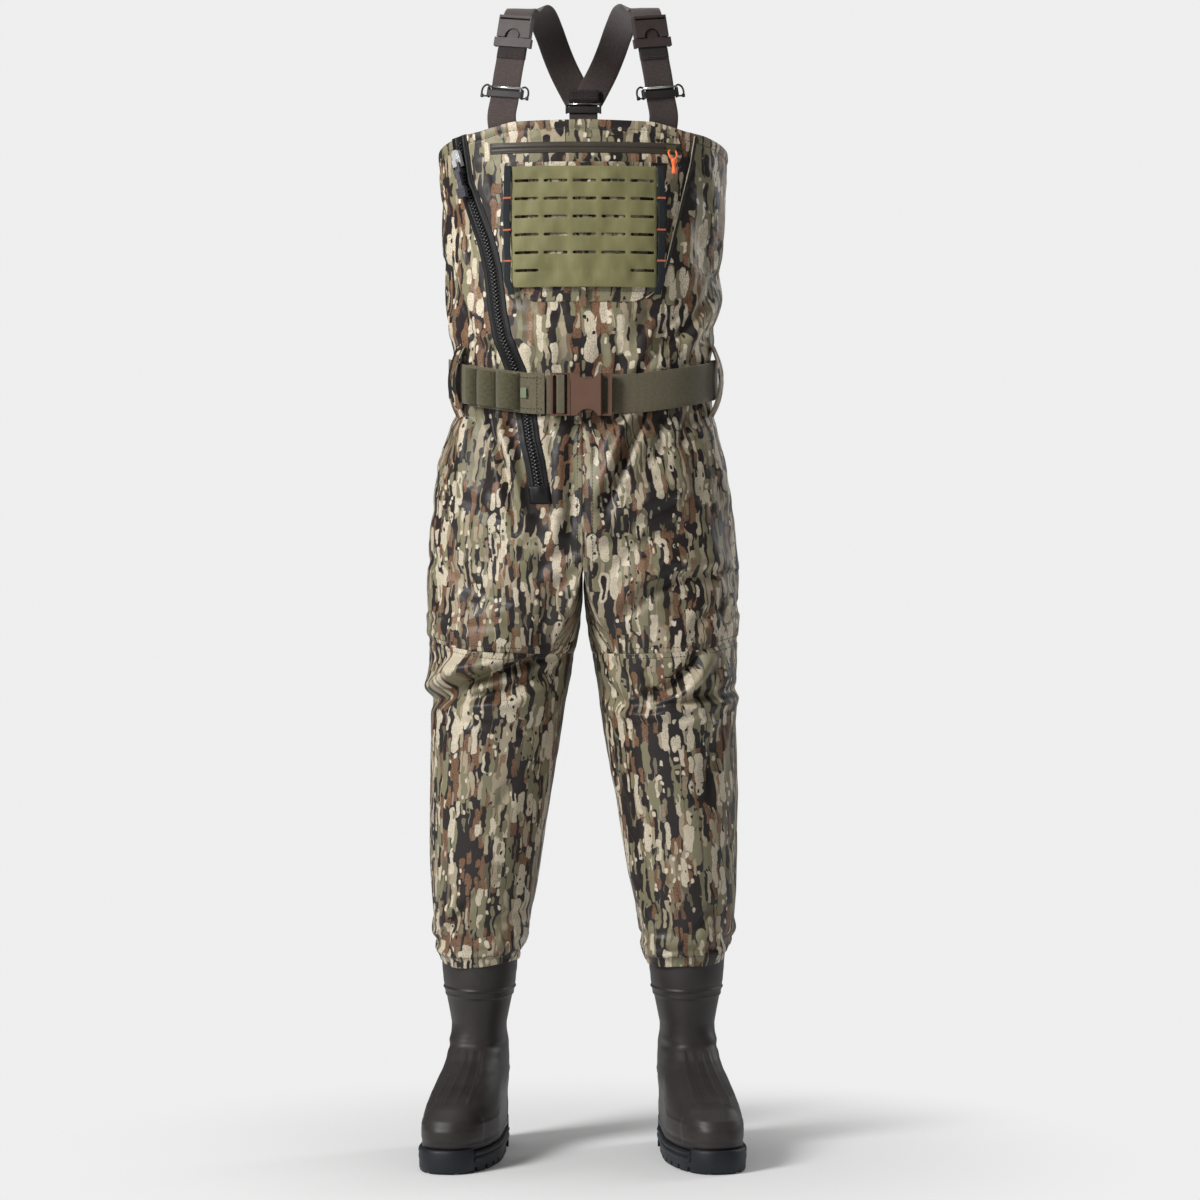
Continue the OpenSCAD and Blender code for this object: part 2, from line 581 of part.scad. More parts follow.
// inner part: u = 0 at the back seam, 1 at the front seam; it flattens towards the middle plane
function leg_inner(u, z, off) =
  let (back_y = torso_pt(179.5, z, off)[1], front_y = torso_pt(0.5, z, off)[1])
  own_side(
    mix(leg_pt(180 + inner_angle + u * (180 - 2 * inner_angle), z, off),
        [2 - off, mix(back_y, front_y, u), z], torso_share(z)), off);
function leg_ring(z, off) = concat(
  [for (j = [0:19]) leg_outer(j / 19, z, off)],
  [for (j = [1:10]) leg_inner(j / 11, z, off)]);
module leg_tube(z0, z1, n) sheet(
  [for (z = steps(z0, z1, n)) leg_ring(z, 0)],
  [for (z = steps(z0, z1, n)) leg_ring(z, -wall)], wrap = true);

crotch_z = 745;
knee_top = 640;
knee_bottom = 500;
hem_z = 252;
leg_seam = 0.5;
module crotch_panel_left() color(camo) patch(
  function (u, v, off) leg_outer(u, mix(crotch_z + 0.8, hip_z - seam, v), off), 18, 4);
module crotch_panel_right() color(camo) mir() crotch_panel_left();
module thigh_panel_left() color(camo) leg_tube(knee_top + leg_seam, crotch_z, 5);
module thigh_panel_right() color(camo) mir() thigh_panel_left();
module knee_panel_left() color(camo) leg_tube(knee_bottom + leg_seam, knee_top, 6);
module knee_panel_right() color(camo) mir() knee_panel_left();
module shin_panel_left() color(camo) leg_tube(hem_z, knee_bottom, 9);
module shin_panel_right() color(camo) mir() shin_panel_left();

// ==== Boots (wearer's left, mirrored for the right) ====
// Shaft, by height: half width, half depth and y of the centre
shaft_half_w = [[150, 35.5], [166, 36], [200, 42.5], [215, 46], [268, 50]];
shaft_half_d = [[150, 54], [165, 54], [200, 59], [215, 60.5], [268, 61]];
shaft_y = [[166, 30], [200, 29], [268, 24.5]];
shaft_zs = [166, 176, 190, 203, 206, 210, 213, 216, 240, 268];
function shaft_pt(th, z, off) = [
  mix(136, 135, (z - 150) / 100) + (lookup(z, shaft_half_w) + off) * sin(th),
  lookup(z, shaft_y) - (lookup(z, shaft_half_d) + off) * cos(th),
  z];
// a raised band runs round the shaft at 206 to 210
module boot_shaft_left() color(rubber) tube(
  function (th, z) shaft_pt(th, z, z == 206 || z == 210 ? 2.4 : 0),
  function (th, z) shaft_pt(th, z, -3.5), shaft_zs, 24);
module boot_shaft_right() color(rubber) mir() boot_shaft_left();

// Foot, by height: reach ahead of the ankle, reach behind it and half width,
// in the foot's own frame with the ankle over [0, 0]
ankle_at = [136, 32];
foot_front = [
  [24, 206], [40, 212], [52, 212], [64, 205], [76, 188], [88, 160], [98, 128], [110, 98],
  [122, 76], [134, 62], [148, 54]];
foot_back = [[24, 66], [40, 69], [60, 70], [90, 66], [120, 60], [148, 56]];
foot_half_w = [
  [24, 43], [40, 46], [56, 46.5], [70, 45], [84, 43], [98, 41], [112, 38], [130, 36],
  [148, 35.5]];
foot_zs = [sole_h + 1, 40, 52, 62, 70, 78, 86, 94, 102, 112, 124, 136, 146];
function foot_pt(th, z, off) =
  let (front = lookup(z, foot_front) + off,
       back = lookup(z, foot_back) + off,
       half_w = lookup(z, foot_half_w) + off,
       length = front + back,
       y = (back - front) / 2 - length / 2 * signed_pow(cos(th), 0.72),
       t = clamp01((y + front) / length),       // 0 at the toe, 1 at the heel
       upper = smooth((z - 60) / 60),           // the sole's shape fades out going up
       taper = z > 120 ? 1 : mix(mix(1.0, 0.80, smooth((t - 0.35) / 0.4)), 1, upper),
       toe_shift = z < 120 ? -4 * (1 - t) * (1 - upper) : 0)
  [half_w * taper * signed_pow(sin(th), 0.8) + toe_shift, y, z];
module on_foot()
  translate([ankle_at[0], ankle_at[1], 0]) rotate([0, 0, toe_out]) children();
module boot_foot_left() color(rubber) on_foot() tube(
  function (th, z) foot_pt(th, z, 0),
  function (th, z) foot_pt(th, z + (z > 60 && z < 120 ? -3 : 0), -4), foot_zs, 30);
module boot_foot_right() color(rubber) mir() boot_foot_left();

// Flexible ring at the ankle: t = 0 on the turned foot, 1 on the shaft
function ankle_pt(th, t, off) =
  let (foot = foot_pt(th, 146, off),
       shaft = shaft_pt(th, 166, off),
       c = cos(toe_out),
       s = sin(toe_out))
  [mix(ankle_at[0] + foot[0] * c - foot[1] * s, shaft[0], t),
   mix(ankle_at[1] + foot[0] * s + foot[1] * c, shaft[1], t),
   mix(146.6, 165.4, t)];
module boot_ankle_left() color(rubber) tube(
  function (th, t) ankle_pt(th, t, t > 0.2 && t < 0.8 ? -1 : 0),
  function (th, t) ankle_pt(th, t, -4), [0, 0.35, 0.7, 1], 24);
module boot_ankle_right() color(rubber) mir() boot_ankle_left();

module foot_outline(n, z, off)
  polygon([for (j = [0:n - 1]) let (p = foot_pt(j * 360 / n, z, off)) [p[0], p[1]]]);
module outsole_left() color(sole_black) on_foot() difference() {
  linear_extrude(sole_h) foot_outline(72, 40, 3);
  box([-80, -22, -1], [160, 40, 11]);       // arch, ahead of the heel
  for (y = [-190, -164, -138, -112, -86, -60, -34]) box([-80, y, -1], [160, 6, lug_depth + 1]);
  for (y = [30, 52]) box([-80, y, -1], [160, 5, lug_depth + 1]);
  for (x = [-22, 16]) box([x, -240, -1], [6, 330, lug_depth + 1]);
}
module outsole_right() color(sole_black) mir() outsole_left();
module insole_left() color(insole_grey) on_foot()
  translate([0, 0, sole_h + 1]) linear_extrude(5) foot_outline(36, 30, -7);
module insole_right() color(insole_grey) mir() insole_left();

bib_front_panel();
bib_side_panel_right();
bib_back_panel();
hip_front_right();
hip_front_left();
seat_panel_right();
seat_panel_left();
belt_loops();
chest_pocket();
molle_panel();
pocket_side_webbing();
webbing_bartacks();
pocket_zip_tape();
pocket_zip_slider();
pocket_zip_cord();
main_zip_tape();
main_zip_teeth();
main_zip_garage();
main_zip_slider();
main_zip_pull();
belt_webbing();
belt_carrier();
belt_shell_loops();
belt_tag();
belt_buckle_socket();
belt_buckle_plug();
belt_end_loop();
belt_latch_upper();
belt_latch_lower();
front_strap_right();
front_strap_left();
strap_adjuster_right();
strap_adjuster_left();
clip_socket_right();
clip_socket_left();
clip_plug_right();
clip_plug_left();
back_strap_right();
back_strap_left();
strap_junction();
rear_strap();
rear_adjuster();
crotch_panel_right();
crotch_panel_left();
thigh_panel_right();
thigh_panel_left();
knee_panel_right();
knee_panel_left();
shin_panel_right();
shin_panel_left();
boot_shaft_right();
boot_shaft_left();
boot_ankle_right();
boot_ankle_left();
boot_foot_right();
boot_foot_left();
outsole_right();
outsole_left();
insole_right();
insole_left();
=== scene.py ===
# Chest waders: fabric, webbing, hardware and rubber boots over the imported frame.
import math
import bpy
import numpy as np
from mathutils import Vector, Matrix


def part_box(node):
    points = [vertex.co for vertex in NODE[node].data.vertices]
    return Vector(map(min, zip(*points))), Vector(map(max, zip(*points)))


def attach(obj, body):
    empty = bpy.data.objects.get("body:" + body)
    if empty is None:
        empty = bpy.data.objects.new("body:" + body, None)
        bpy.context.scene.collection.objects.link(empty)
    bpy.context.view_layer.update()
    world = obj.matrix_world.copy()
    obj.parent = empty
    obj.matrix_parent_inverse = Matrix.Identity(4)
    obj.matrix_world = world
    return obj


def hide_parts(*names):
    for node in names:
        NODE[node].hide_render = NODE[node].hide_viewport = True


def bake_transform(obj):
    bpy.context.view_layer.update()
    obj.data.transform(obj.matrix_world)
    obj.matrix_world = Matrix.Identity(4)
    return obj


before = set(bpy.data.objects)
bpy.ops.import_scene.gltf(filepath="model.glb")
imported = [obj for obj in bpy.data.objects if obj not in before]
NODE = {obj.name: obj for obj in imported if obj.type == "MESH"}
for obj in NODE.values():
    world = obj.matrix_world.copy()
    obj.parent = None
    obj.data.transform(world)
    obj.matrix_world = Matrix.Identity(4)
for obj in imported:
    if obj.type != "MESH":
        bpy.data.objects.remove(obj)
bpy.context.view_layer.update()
MM = 0.001
rng = np.random.RandomState(7)

# ------------------------------------------------------------------ sections
def tab(rows):
    a = np.array(rows, float)
    return lambda z: np.interp(z, a[:, 0], a[:, 1])
TA = tab([[700, 200], [760, 200], [800, 197], [850, 193], [900, 186], [940, 176], [977, 166], [1010, 167], [1040, 169], [1080, 173], [1120, 177], [1180, 181], [1250, 184], [1300, 187], [1335, 187]])
TF = tab([[700, 114], [760, 116], [800, 119], [850, 120], [900, 118], [940, 114], [977, 108], [1010, 112], [1060, 116], [1120, 118], [1180, 120], [1250, 122], [1335, 121]])
TB = tab([[700, 116], [760, 118], [800, 122], [850, 124], [900, 118], [940, 108], [977, 100], [1010, 101], [1060, 104], [1120, 108], [1180, 110], [1250, 110], [1335, 106]])
ZX = tab([[835, 52], [852, 54], [891, 60], [921, 67], [951, 71], [1005, 83], [1020, 89], [1050, 102], [1083, 109], [1138, 116], [1175, 125], [1212, 138], [1249, 150], [1310, 157], [1335, 158]])
LX = tab([[240, 134], [262, 134], [288, 134], [340, 131.5], [392, 128], [444, 124], [496, 120], [548, 115], [600, 110], [652, 105], [730, 104], [760, 102]])
LW = tab([[240, 55], [262, 57], [288, 60.5], [340, 66], [392, 71], [444, 75], [496, 80], [548, 84], [600, 87.5], [652, 94], [730, 98], [760, 99]])
LD = tab([[240, 66], [262, 69], [288, 73], [340, 80], [392, 86], [444, 90], [496, 93], [548, 95], [600, 98], [652, 106], [730, 114], [760, 117]])
LY = tab([[240, 24], [288, 21], [340, 19], [392, 17], [444, 14], [496, 9], [548, 4], [600, 1], [652, 0], [760, 0]])
NSE = 2.3
sind = lambda a: np.sin(np.radians(a))
cosd = lambda a: np.cos(np.radians(a))
pw = lambda v, e: np.sign(v) * np.abs(v) ** e
def smooth(t):
    t = np.clip(t, 0, 1); return t * t * (3 - 2 * t)
def mix(a, b, t): return a + (b - a) * t
BT, BZ = 1325.0, 977.0
ZT = tab([[0, BT], [25, BT - 2], [41, BT - 12], [54, BT - 16], [75, BT - 27], [90, BT - 34], [120, BT - 53], [150, BT - 63], [180, BT - 67]])
ZBT = tab([[0, BZ], [20, BZ + 2], [60, BZ + 17], [90, BZ + 28], [180, BZ + 33]])
def wrapth(th): return (np.asarray(th, float) + 180) % 360 - 180
def ztop(th): return ZT(np.abs(wrapth(th)))
def zb(th): return ZBT(np.abs(wrapth(th)))
def press(z, zc): return zc + (z - zc) * smooth((np.abs(z - zc) - 26) / 36)
def zipx(z): return -ZX(z)
def thx(x, z):
    return np.sign(x) * np.degrees(np.arcsin(np.minimum(1, np.abs(x) / TA(press(z, BZ + 4))) ** (NSE / 2)))
def valley(x, z):
    return np.where((z > 1020) & (z < 1300) & (x < 0), 3.7 * np.exp(-((x - zipx(z)) / 34) ** 2) * sind(180 * (1300 - z) / 280), 0)
def torso(th, z, o=0.0):
    th = np.asarray(th, float); z = np.asarray(z, float)
    th, z = np.broadcast_arrays(th, z)
    c, s = cosd(th), sind(th)
    zz = press(z, zb(th))
    x0 = TA(zz) * pw(s, 2 / NSE)
    v = np.where(c > 0, valley(x0, z), 0)
    a = TA(zz) + o - v
    b = np.where(c > 0, TF(zz), TB(zz)) + o - v
    return np.stack([a * pw(s, 2 / NSE), -b * pw(c, 2 / NSE), z * 1.0], -1)
def front_at(x, z, o=0.0): return torso(thx(np.asarray(x, float), np.asarray(z, float)), z, o)
def leg(psi, z, o=0.0):
    psi = np.asarray(psi, float); z = np.asarray(z, float); psi, z = np.broadcast_arrays(psi, z)
    return np.stack([LX(z) + (LW(z) + o) * pw(sind(psi), 0.92), LY(z) - (LD(z) + o) * pw(cosd(psi), 0.92), z * 1.0], -1)
PI_IN = 42.0
def leg_outer(u, z, o=0.0):
    u = np.asarray(u, float); z = np.asarray(z, float); u, z = np.broadcast_arrays(u, z)
    s = smooth((z - 640) / 120)[..., None]
    return mix(leg(-PI_IN + u * (180 + 2 * PI_IN), z, o), torso(u * 180, z, o), s)
def leg_inner(v, z, o=0.0):
    v = np.asarray(v, float); z = np.asarray(z, float); v, z = np.broadcast_arrays(v, z)
    s = smooth((z - 640) / 120)[..., None]
    L = leg(180 + PI_IN + v * (180 - 2 * PI_IN), z, o)
    a, b = torso(180 + 0 * v, z, o), torso(0 * v, z, o)
    T = np.stack([0 * v, mix(a[..., 1], b[..., 1], v), z * 1.0], -1)
    return mix(L, T, s)

# ------------------------------------------------------------------ noise
_perm = np.random.RandomState(11).permutation(256)
_perm = np.concatenate([_perm, _perm, _perm])
_grad = np.random.RandomState(12).randn(256, 3); _grad /= np.linalg.norm(_grad, axis=1)[:, None]
def pnoise(x, y, z):
    x, y, z = np.broadcast_arrays(np.asarray(x, float), np.asarray(y, float), np.asarray(z, float))
    xi, yi, zi = np.floor(x).astype(int), np.floor(y).astype(int), np.floor(z).astype(int)
    xf, yf, zf = x - xi, y - yi, z - zi
    f = lambda t: t * t * t * (t * (t * 6 - 15) + 10)
    u, v, w = f(xf), f(yf), f(zf)
    r = 0
    for dx in (0, 1):
        for dy in (0, 1):
            for dz in (0, 1):
                h = _perm[(_perm[(_perm[(xi + dx) & 255] + yi + dy) & 255] + zi + dz) & 255]
                g = _grad[h]
                d = g[..., 0] * (xf - dx) + g[..., 1] * (yf - dy) + g[..., 2] * (zf - dz)
                r = r + d * (u if dx else 1 - u) * (v if dy else 1 - v) * (w if dz else 1 - w)
    return r * 1.6

# ------------------------------------------------------------------ folds seen on the front, in a front-view chart
# chart units: 1 = 1.3 mm at the middle of the garment; (600, 600) is straight ahead at the eye's height
EYE = np.array([22.0, -4450.0, 717.0]); FOC = 3423.0
def chart(P):
    d = P[..., 1] - EYE[1]
    return 600 + (P[..., 0] - EYE[0]) * FOC / d, 600 - (P[..., 2] - EYE[2]) * FOC / d
# kind v valley, r ridge, f fold: valley with a roll on the left of its direction
HIP_FOLDS = [
    ("f", 5.0, 8.0, [(487, 404), (493, 435), (502, 461), (510, 492), (517, 527)]),
    ("v", 8.0, 3.0, [(484, 425), (478, 481), (473, 505)]),
    ("v", 5.0, 2.2, [(478, 510), (500, 520), (514, 528)]),
    ("f", 6.0, -9.0, [(646, 408), (632, 435), (621, 461), (610, 492), (604, 508)]),
    ("v", 6.0, 3.0, [(700, 398), (688, 425), (684, 450)]),
    ("v", 5.0, 3.5, [(668, 402), (664, 425), (660, 450)]),
    ("v", 5.0, 3.0, [(716, 398), (722, 420), (728, 450)]),
    ("v", 5.0, 3.2, [(460, 402), (452, 425), (446, 448)]),
    ("r", 6.0, 2.2, [(470, 404), (464, 430), (458, 470)]),
    ("v", 4.0, 2.5, [(548, 418), (551, 440), (549, 470)]),
    ("v", 4.5, 2.5, [(575, 418), (572, 445), (566, 475)]),
    ("f", 8.0, 4.5, [(592, 556), (632, 527), (671, 505), (700, 488)]),
    ("v", 9.0, 5.0, [(606, 575), (640, 545), (676, 528), (712, 516)]),
    ("f", 9.0, 4.5, [(620, 617), (649, 594), (675, 579), (712, 572)]),
    ("v", 10.0, 5.0, [(588, 548), (556, 556), (530, 570)]),
    ("v", 9.0, 5.5, [(582, 566), (556, 590), (545, 625), (543, 650)]),
    ("v", 8.0, 5.5, [(577, 455), (572, 513), (570, 548)]),
    ("r", 7.0, 3.0, [(560, 470), (556, 520), (552, 560)]),
    ("v", 10.0, 4.0, [(640, 470), (660, 450), (690, 438)]),
    ("v", 9.0, 3.0, [(440, 560), (470, 590), (500, 600)]),
    ("v", 8.0, 2.5, [(720, 600), (700, 620), (690, 645)]),
]
KNEE_FOLDS = [
    ("f", 6.5, 13.0, [(430, 700), (452, 687), (469, 680), (502, 670), (536, 660), (560, 650)]),
    ("v", 5.5, 7.0, [(432, 698), (480, 695), (506, 691), (528, 681), (556, 670)]),
    ("r", 6.0, 4.0, [(470, 703), (510, 701), (545, 688)]),
    ("v", 4.5, 3.0, [(440, 716), (487, 723), (525, 729), (552, 722)]),
    ("r", 8.0, 3.0, [(440, 668), (462, 662), (480, 658)]),
    ("v", 7.0, 3.0, [(432, 664), (446, 656), (462, 652)]),
    ("v", 7.0, 2.4, [(520, 770), (500, 800), (492, 815)]),
    ("v", 6.0, 2.0, [(440, 770), (452, 800), (450, 830)]),
    ("f", 5.5, -11.0, [(640, 697), (656, 694), (671, 687), (688, 672), (703, 648)]),
    ("f", 4.5, -6.5, [(616, 703), (653, 706), (686, 698), (719, 693), (742, 685)]),
    ("v", 6.0, 4.5, [(606, 684), (614, 694), (628, 705)]),
    ("r", 5.0, 4.0, [(684, 721), (700, 715), (712, 722), (713, 740)]),
    ("v", 5.0, 4.5, [(713, 725), (714, 760), (712, 800)]),
    ("v", 5.0, 3.0, [(640, 668), (652, 684), (650, 700)]),
    ("v", 4.5, 2.6, [(618, 664), (630, 684), (634, 698)]),
    ("v", 7.0, 2.2, [(640, 800), (655, 840), (662, 870)]),
]
HEM_FOLDS = [
    ("f", 5.0, 5.0, [(443, 942), (452, 920), (467, 900)]),
    ("v", 6.0, 5.0, [(441, 930), (444, 945), (450, 956)]),
    ("v", 6.0, 3.0, [(496, 924), (513, 913), (530, 905)]),
    ("v", 5.0, 3.0, [(520, 950), (530, 940), (536, 925)]),
    ("f", 5.0, 4.5, [(690, 935), (702, 920), (714, 900)]),
    ("v", 6.0, 3.0, [(650, 900), (660, 925), (662, 950)]),
    ("v", 5.0, 3.0, [(724, 925), (732, 940), (730, 955)]),
    ("v", 5.0, 2.5, [(470, 925), (474, 940), (472, 962)]),
]
BIB_FOLDS = [
    ("f", 5.0, -6.0, [(664, 325), (655, 345), (641, 374)]),
    ("v", 6.0, 3.5, [(690, 318), (682, 340), (676, 362)]),
    ("v", 6.0, 3.0, [(712, 310), (704, 335), (700, 355)]),
    ("v", 5.0, 2.5, [(536, 345), (534, 360), (536, 378)]),
    ("v", 5.0, 2.5, [(560, 335), (562, 355), (560, 378)]),
    ("v", 6.0, 3.0, [(600, 340), (604, 358), (600, 376)]),
    ("v", 5.0, 2.5, [(622, 345), (618, 360), (622, 375)]),
    ("v", 7.0, 3.5, [(450, 290), (462, 320), (478, 352)]),
    ("v", 6.0, 3.0, [(470, 270), (480, 300), (486, 345)]),
    ("v", 12.0, 4.0, [(716, 180), (704, 230), (706, 290)]),
    ("r", 12.0, 3.0, [(696, 190), (686, 240), (690, 300)]),
    ("v", 12.0, 3.5, [(450, 200), (460, 235), (474, 270)]),
    ("f", 6.0, 6.0, [(724, 266), (708, 298), (686, 328), (660, 352)]),
    ("f", 5.0, 4.5, [(738, 300), (720, 325), (700, 347)]),
    ("v", 6.0, 4.0, [(698, 284), (676, 316), (650, 345)]),
    ("v", 5.0, 3.5, [(446, 262), (454, 290), (468, 322)]),
]
def stroke_field(px, py, strokes):
    D = np.zeros_like(px)
    for kind, w, depth, pts in strokes:
        pts = np.array(pts, float)
        seg = np.linalg.norm(np.diff(pts, axis=0), axis=1); tot = seg.sum(); acc = 0
        best = np.full(px.shape, 1e9); sd = np.zeros_like(px); tt = np.zeros_like(px)
        for k in range(len(pts) - 1):
            a, b = pts[k], pts[k + 1]; ab = b - a
            t = np.clip(((px - a[0]) * ab[0] + (py - a[1]) * ab[1]) / (ab @ ab), 0, 1)
            dx, dy = px - (a[0] + t * ab[0]), py - (a[1] + t * ab[1])
            d = np.hypot(dx, dy); s = np.sign(ab[0] * dy - ab[1] * dx)
            m = d < best
            best = np.where(m, d, best); sd = np.where(m, -d * s, sd); tt = np.where(m, (acc + t * seg[k]) / tot, tt)
            acc += seg[k]
        taper = np.clip(np.sin(np.pi * np.clip(tt * 0.92 + 0.04, 0, 1)), 0, 1) ** 0.6 * np.exp(-(np.maximum(best - 3 * w, 0) / w) ** 2)
        if kind == "v": D -= depth * taper * np.exp(-(best / w) ** 2)
        elif kind == "r": D += depth * taper * np.exp(-(best / w) ** 2)
        else:
            s = sd * (1 if depth > 0 else -1); dd = abs(depth)
            D += taper * (0.75 * dd * np.exp(-((s - 1.7 * w) / (1.5 * w)) ** 2) - dd * np.exp(-(best / w) ** 2))
    return D
def grid_normals(P, wrap):
    if wrap: dc = np.roll(P, -1, 1) - np.roll(P, 1, 1)
    else: dc = np.gradient(P, axis=1)
    dr = np.gradient(P, axis=0)
    n = np.cross(dc, dr)
    return n / np.maximum(np.linalg.norm(n, axis=-1, keepdims=True), 1e-9)
def fold_disp(P, N, strokes, amp=1.0):
    px, py = chart(P)
    f = smooth((-N[..., 1] + 0.30) / 0.45)
    D = amp * stroke_field(px, py, strokes) * f
    # the back carries the same kind of folds, turned round
    b = 1 - f
    Q = P.copy(); Q[..., 0] = -Q[..., 0]; Q[..., 1] = -Q[..., 1]
    qx, qy = chart(Q)
    return D + stroke_field(qx, qy + 4, strokes) * b * 0.8

# ------------------------------------------------------------------ mesh helpers
def new_obj(name, verts, faces, smooth_shade=True):
    me = bpy.data.meshes.new(name)
    me.from_pydata([tuple(v) for v in np.asarray(verts, float).reshape(-1, 3)], [], faces)
    me.update(); me.validate()
    ob = bpy.data.objects.new(name, me)
    bpy.context.scene.collection.objects.link(ob)
    if smooth_shade: me.polygons.foreach_set("use_smooth", [True] * len(me.polygons))
    return ob
def grid_faces(nr, nc, wrap=False, base=0, mask=None):
    F = []
    for i in range(nr - 1):
        for j in range(nc if wrap else nc - 1):
            if mask is not None and not mask[i, j]: continue
            k = (j + 1) % nc
            F.append((base + i * nc + j, base + i * nc + k, base + (i + 1) * nc + k, base + (i + 1) * nc + j))
    return F
def set_pat(ob, uv, name="pat"):
    a = ob.data.attributes.new(name, 'FLOAT_VECTOR', 'POINT')
    v = np.zeros((len(ob.data.vertices), 3)); uv = np.asarray(uv, float).reshape(len(v), -1); v[:, :uv.shape[1]] = uv
    a.data.foreach_set("vector", v.ravel())
def grid_obj(name, P_mm, uv=None, wrap=False, mask=None, mat=None):
    P = np.asarray(P_mm, float); nr, nc = P.shape[:2]
    ob = new_obj(name, P.reshape(-1, 3) * MM, grid_faces(nr, nc, wrap, 0, mask))
    if uv is not None: set_pat(ob, np.asarray(uv).reshape(nr * nc, -1))
    if mask is not None:
        import bmesh
        bm = bmesh.new(); bm.from_mesh(ob.data)
        bmesh.ops.delete(bm, geom=[v for v in bm.verts if not v.link_faces], context='VERTS')
        bm.to_mesh(ob.data); bm.free()
    if mat: ob.data.materials.append(mat)
    return ob
def arc_u(P, j0, wrap=False):
    """metres along each row from column j0"""
    d = np.linalg.norm(np.diff(P, axis=1), axis=-1)
    s = np.concatenate([np.zeros((P.shape[0], 1)), np.cumsum(d, 1)], 1)
    return (s - s[:, j0:j0 + 1]) * MM
def mod(ob, kind, **k):
    m = ob.modifiers.new(kind.lower(), kind)
    for a, b in k.items(): setattr(m, a, b)
    return m
def apply_mods(ob):
    dg = bpy.context.evaluated_depsgraph_get()
    me = bpy.data.meshes.new_from_object(ob.evaluated_get(dg), preserve_all_data_layers=True, depsgraph=dg)
    ob.modifiers.clear(); old = ob.data; ob.data = me; bpy.data.meshes.remove(old)
def solid(ob, t_mm, inner_mat=None, offset=-1, rim=True):
    n = len(ob.data.materials)
    m = mod(ob, 'SOLIDIFY', thickness=t_mm * MM, offset=offset, use_rim=rim, use_even_offset=False)
    if inner_mat: ob.data.materials.append(inner_mat); m.material_offset = n
    return m
def subsurf(ob, n=1): return mod(ob, 'SUBSURF', levels=n, render_levels=n)
def tube_obj(name, pts_mm, r_mm, mat=None, n=10, closed=False, rs=None):
    """round cord along points"""
    P = np.asarray(pts_mm, float); m = len(P)
    T = np.roll(P, -1, 0) - np.roll(P, 1, 0) if closed else np.gradient(P, axis=0)
    T /= np.maximum(np.linalg.norm(T, axis=1)[:, None], 1e-9)
    up = np.array([0.31, 0.17, 0.93]); V = []
    b = np.cross(T[0], up); b /= np.linalg.norm(b)
    for i in range(m):
        b = b - (b @ T[i]) * T[i]; b /= np.linalg.norm(b); c = np.cross(T[i], b)
        r = r_mm if rs is None else rs[i]
        for k in range(n):
            a = 2 * math.pi * k / n
            V.append(P[i] + r * (math.cos(a) * b + math.sin(a) * c))
    F = []
    for i in range(m if closed else m - 1):
        for k in range(n):
            i2 = (i + 1) % m
            F.append((i * n + k, i * n + (k + 1) % n, i2 * n + (k + 1) % n, i2 * n + k))
    if not closed:
        F.append(tuple(range(n))[::-1]); F.append(tuple((m - 1) * n + k for k in range(n)))
    ob = new_obj(name, np.array(V) * MM, F)
    if mat: ob.data.materials.append(mat)
    return ob
def catmull(pts, n=12):
    P = np.asarray(pts, float); out = []
    Q = np.vstack([2 * P[0] - P[1], P, 2 * P[-1] - P[-2]])
    for i in range(1, len(Q) - 2):
        for t in np.linspace(0, 1, n, endpoint=False):
            a, b, c, d = Q[i - 1], Q[i], Q[i + 1], Q[i + 2]
            out.append(0.5 * ((2 * b) + (-a + c) * t + (2 * a - 5 * b + 4 * c - d) * t ** 2 + (-a + 3 * b - 3 * c + d) * t ** 3))
    out.append(P[-1]); return np.array(out)
def join(obs, name):
    bpy.ops.object.select_all(action='DESELECT')
    for o in obs: o.select_set(True)
    bpy.context.view_layer.objects.active = obs[0]; bpy.ops.object.join()
    o = bpy.context.view_layer.objects.active; o.name = name; o.data.name = name
    return o
def box_bev(name, c, s, bev, M=None, mat=None, seg=3):
    """rounded block: centre, size in mm"""
    import bmesh
    bm = bmesh.new(); bmesh.ops.create_cube(bm, size=1)
    for v in bm.verts: v.co = Vector((c[0] + v.co.x * s[0], c[1] + v.co.y * s[1], c[2] + v.co.z * s[2]))
    bmesh.ops.bevel(bm, geom=bm.edges[:], offset=bev, segments=seg, profile=0.6, affect='EDGES')
    me = bpy.data.meshes.new(name); bm.to_mesh(me); bm.free()
    ob = bpy.data.objects.new(name, me); bpy.context.scene.collection.objects.link(ob)
    if M is not None: me.transform(M)
    me.transform(Matrix.Scale(MM, 4)); me.polygons.foreach_set("use_smooth", [True] * len(me.polygons))
    if mat: me.materials.append(mat)
    return ob
def frame_m(o, x, y, z):
    return Matrix(((x[0], y[0], z[0], o[0]), (x[1], y[1], z[1], o[1]), (x[2], y[2], z[2], o[2]), (0, 0, 0, 1)))

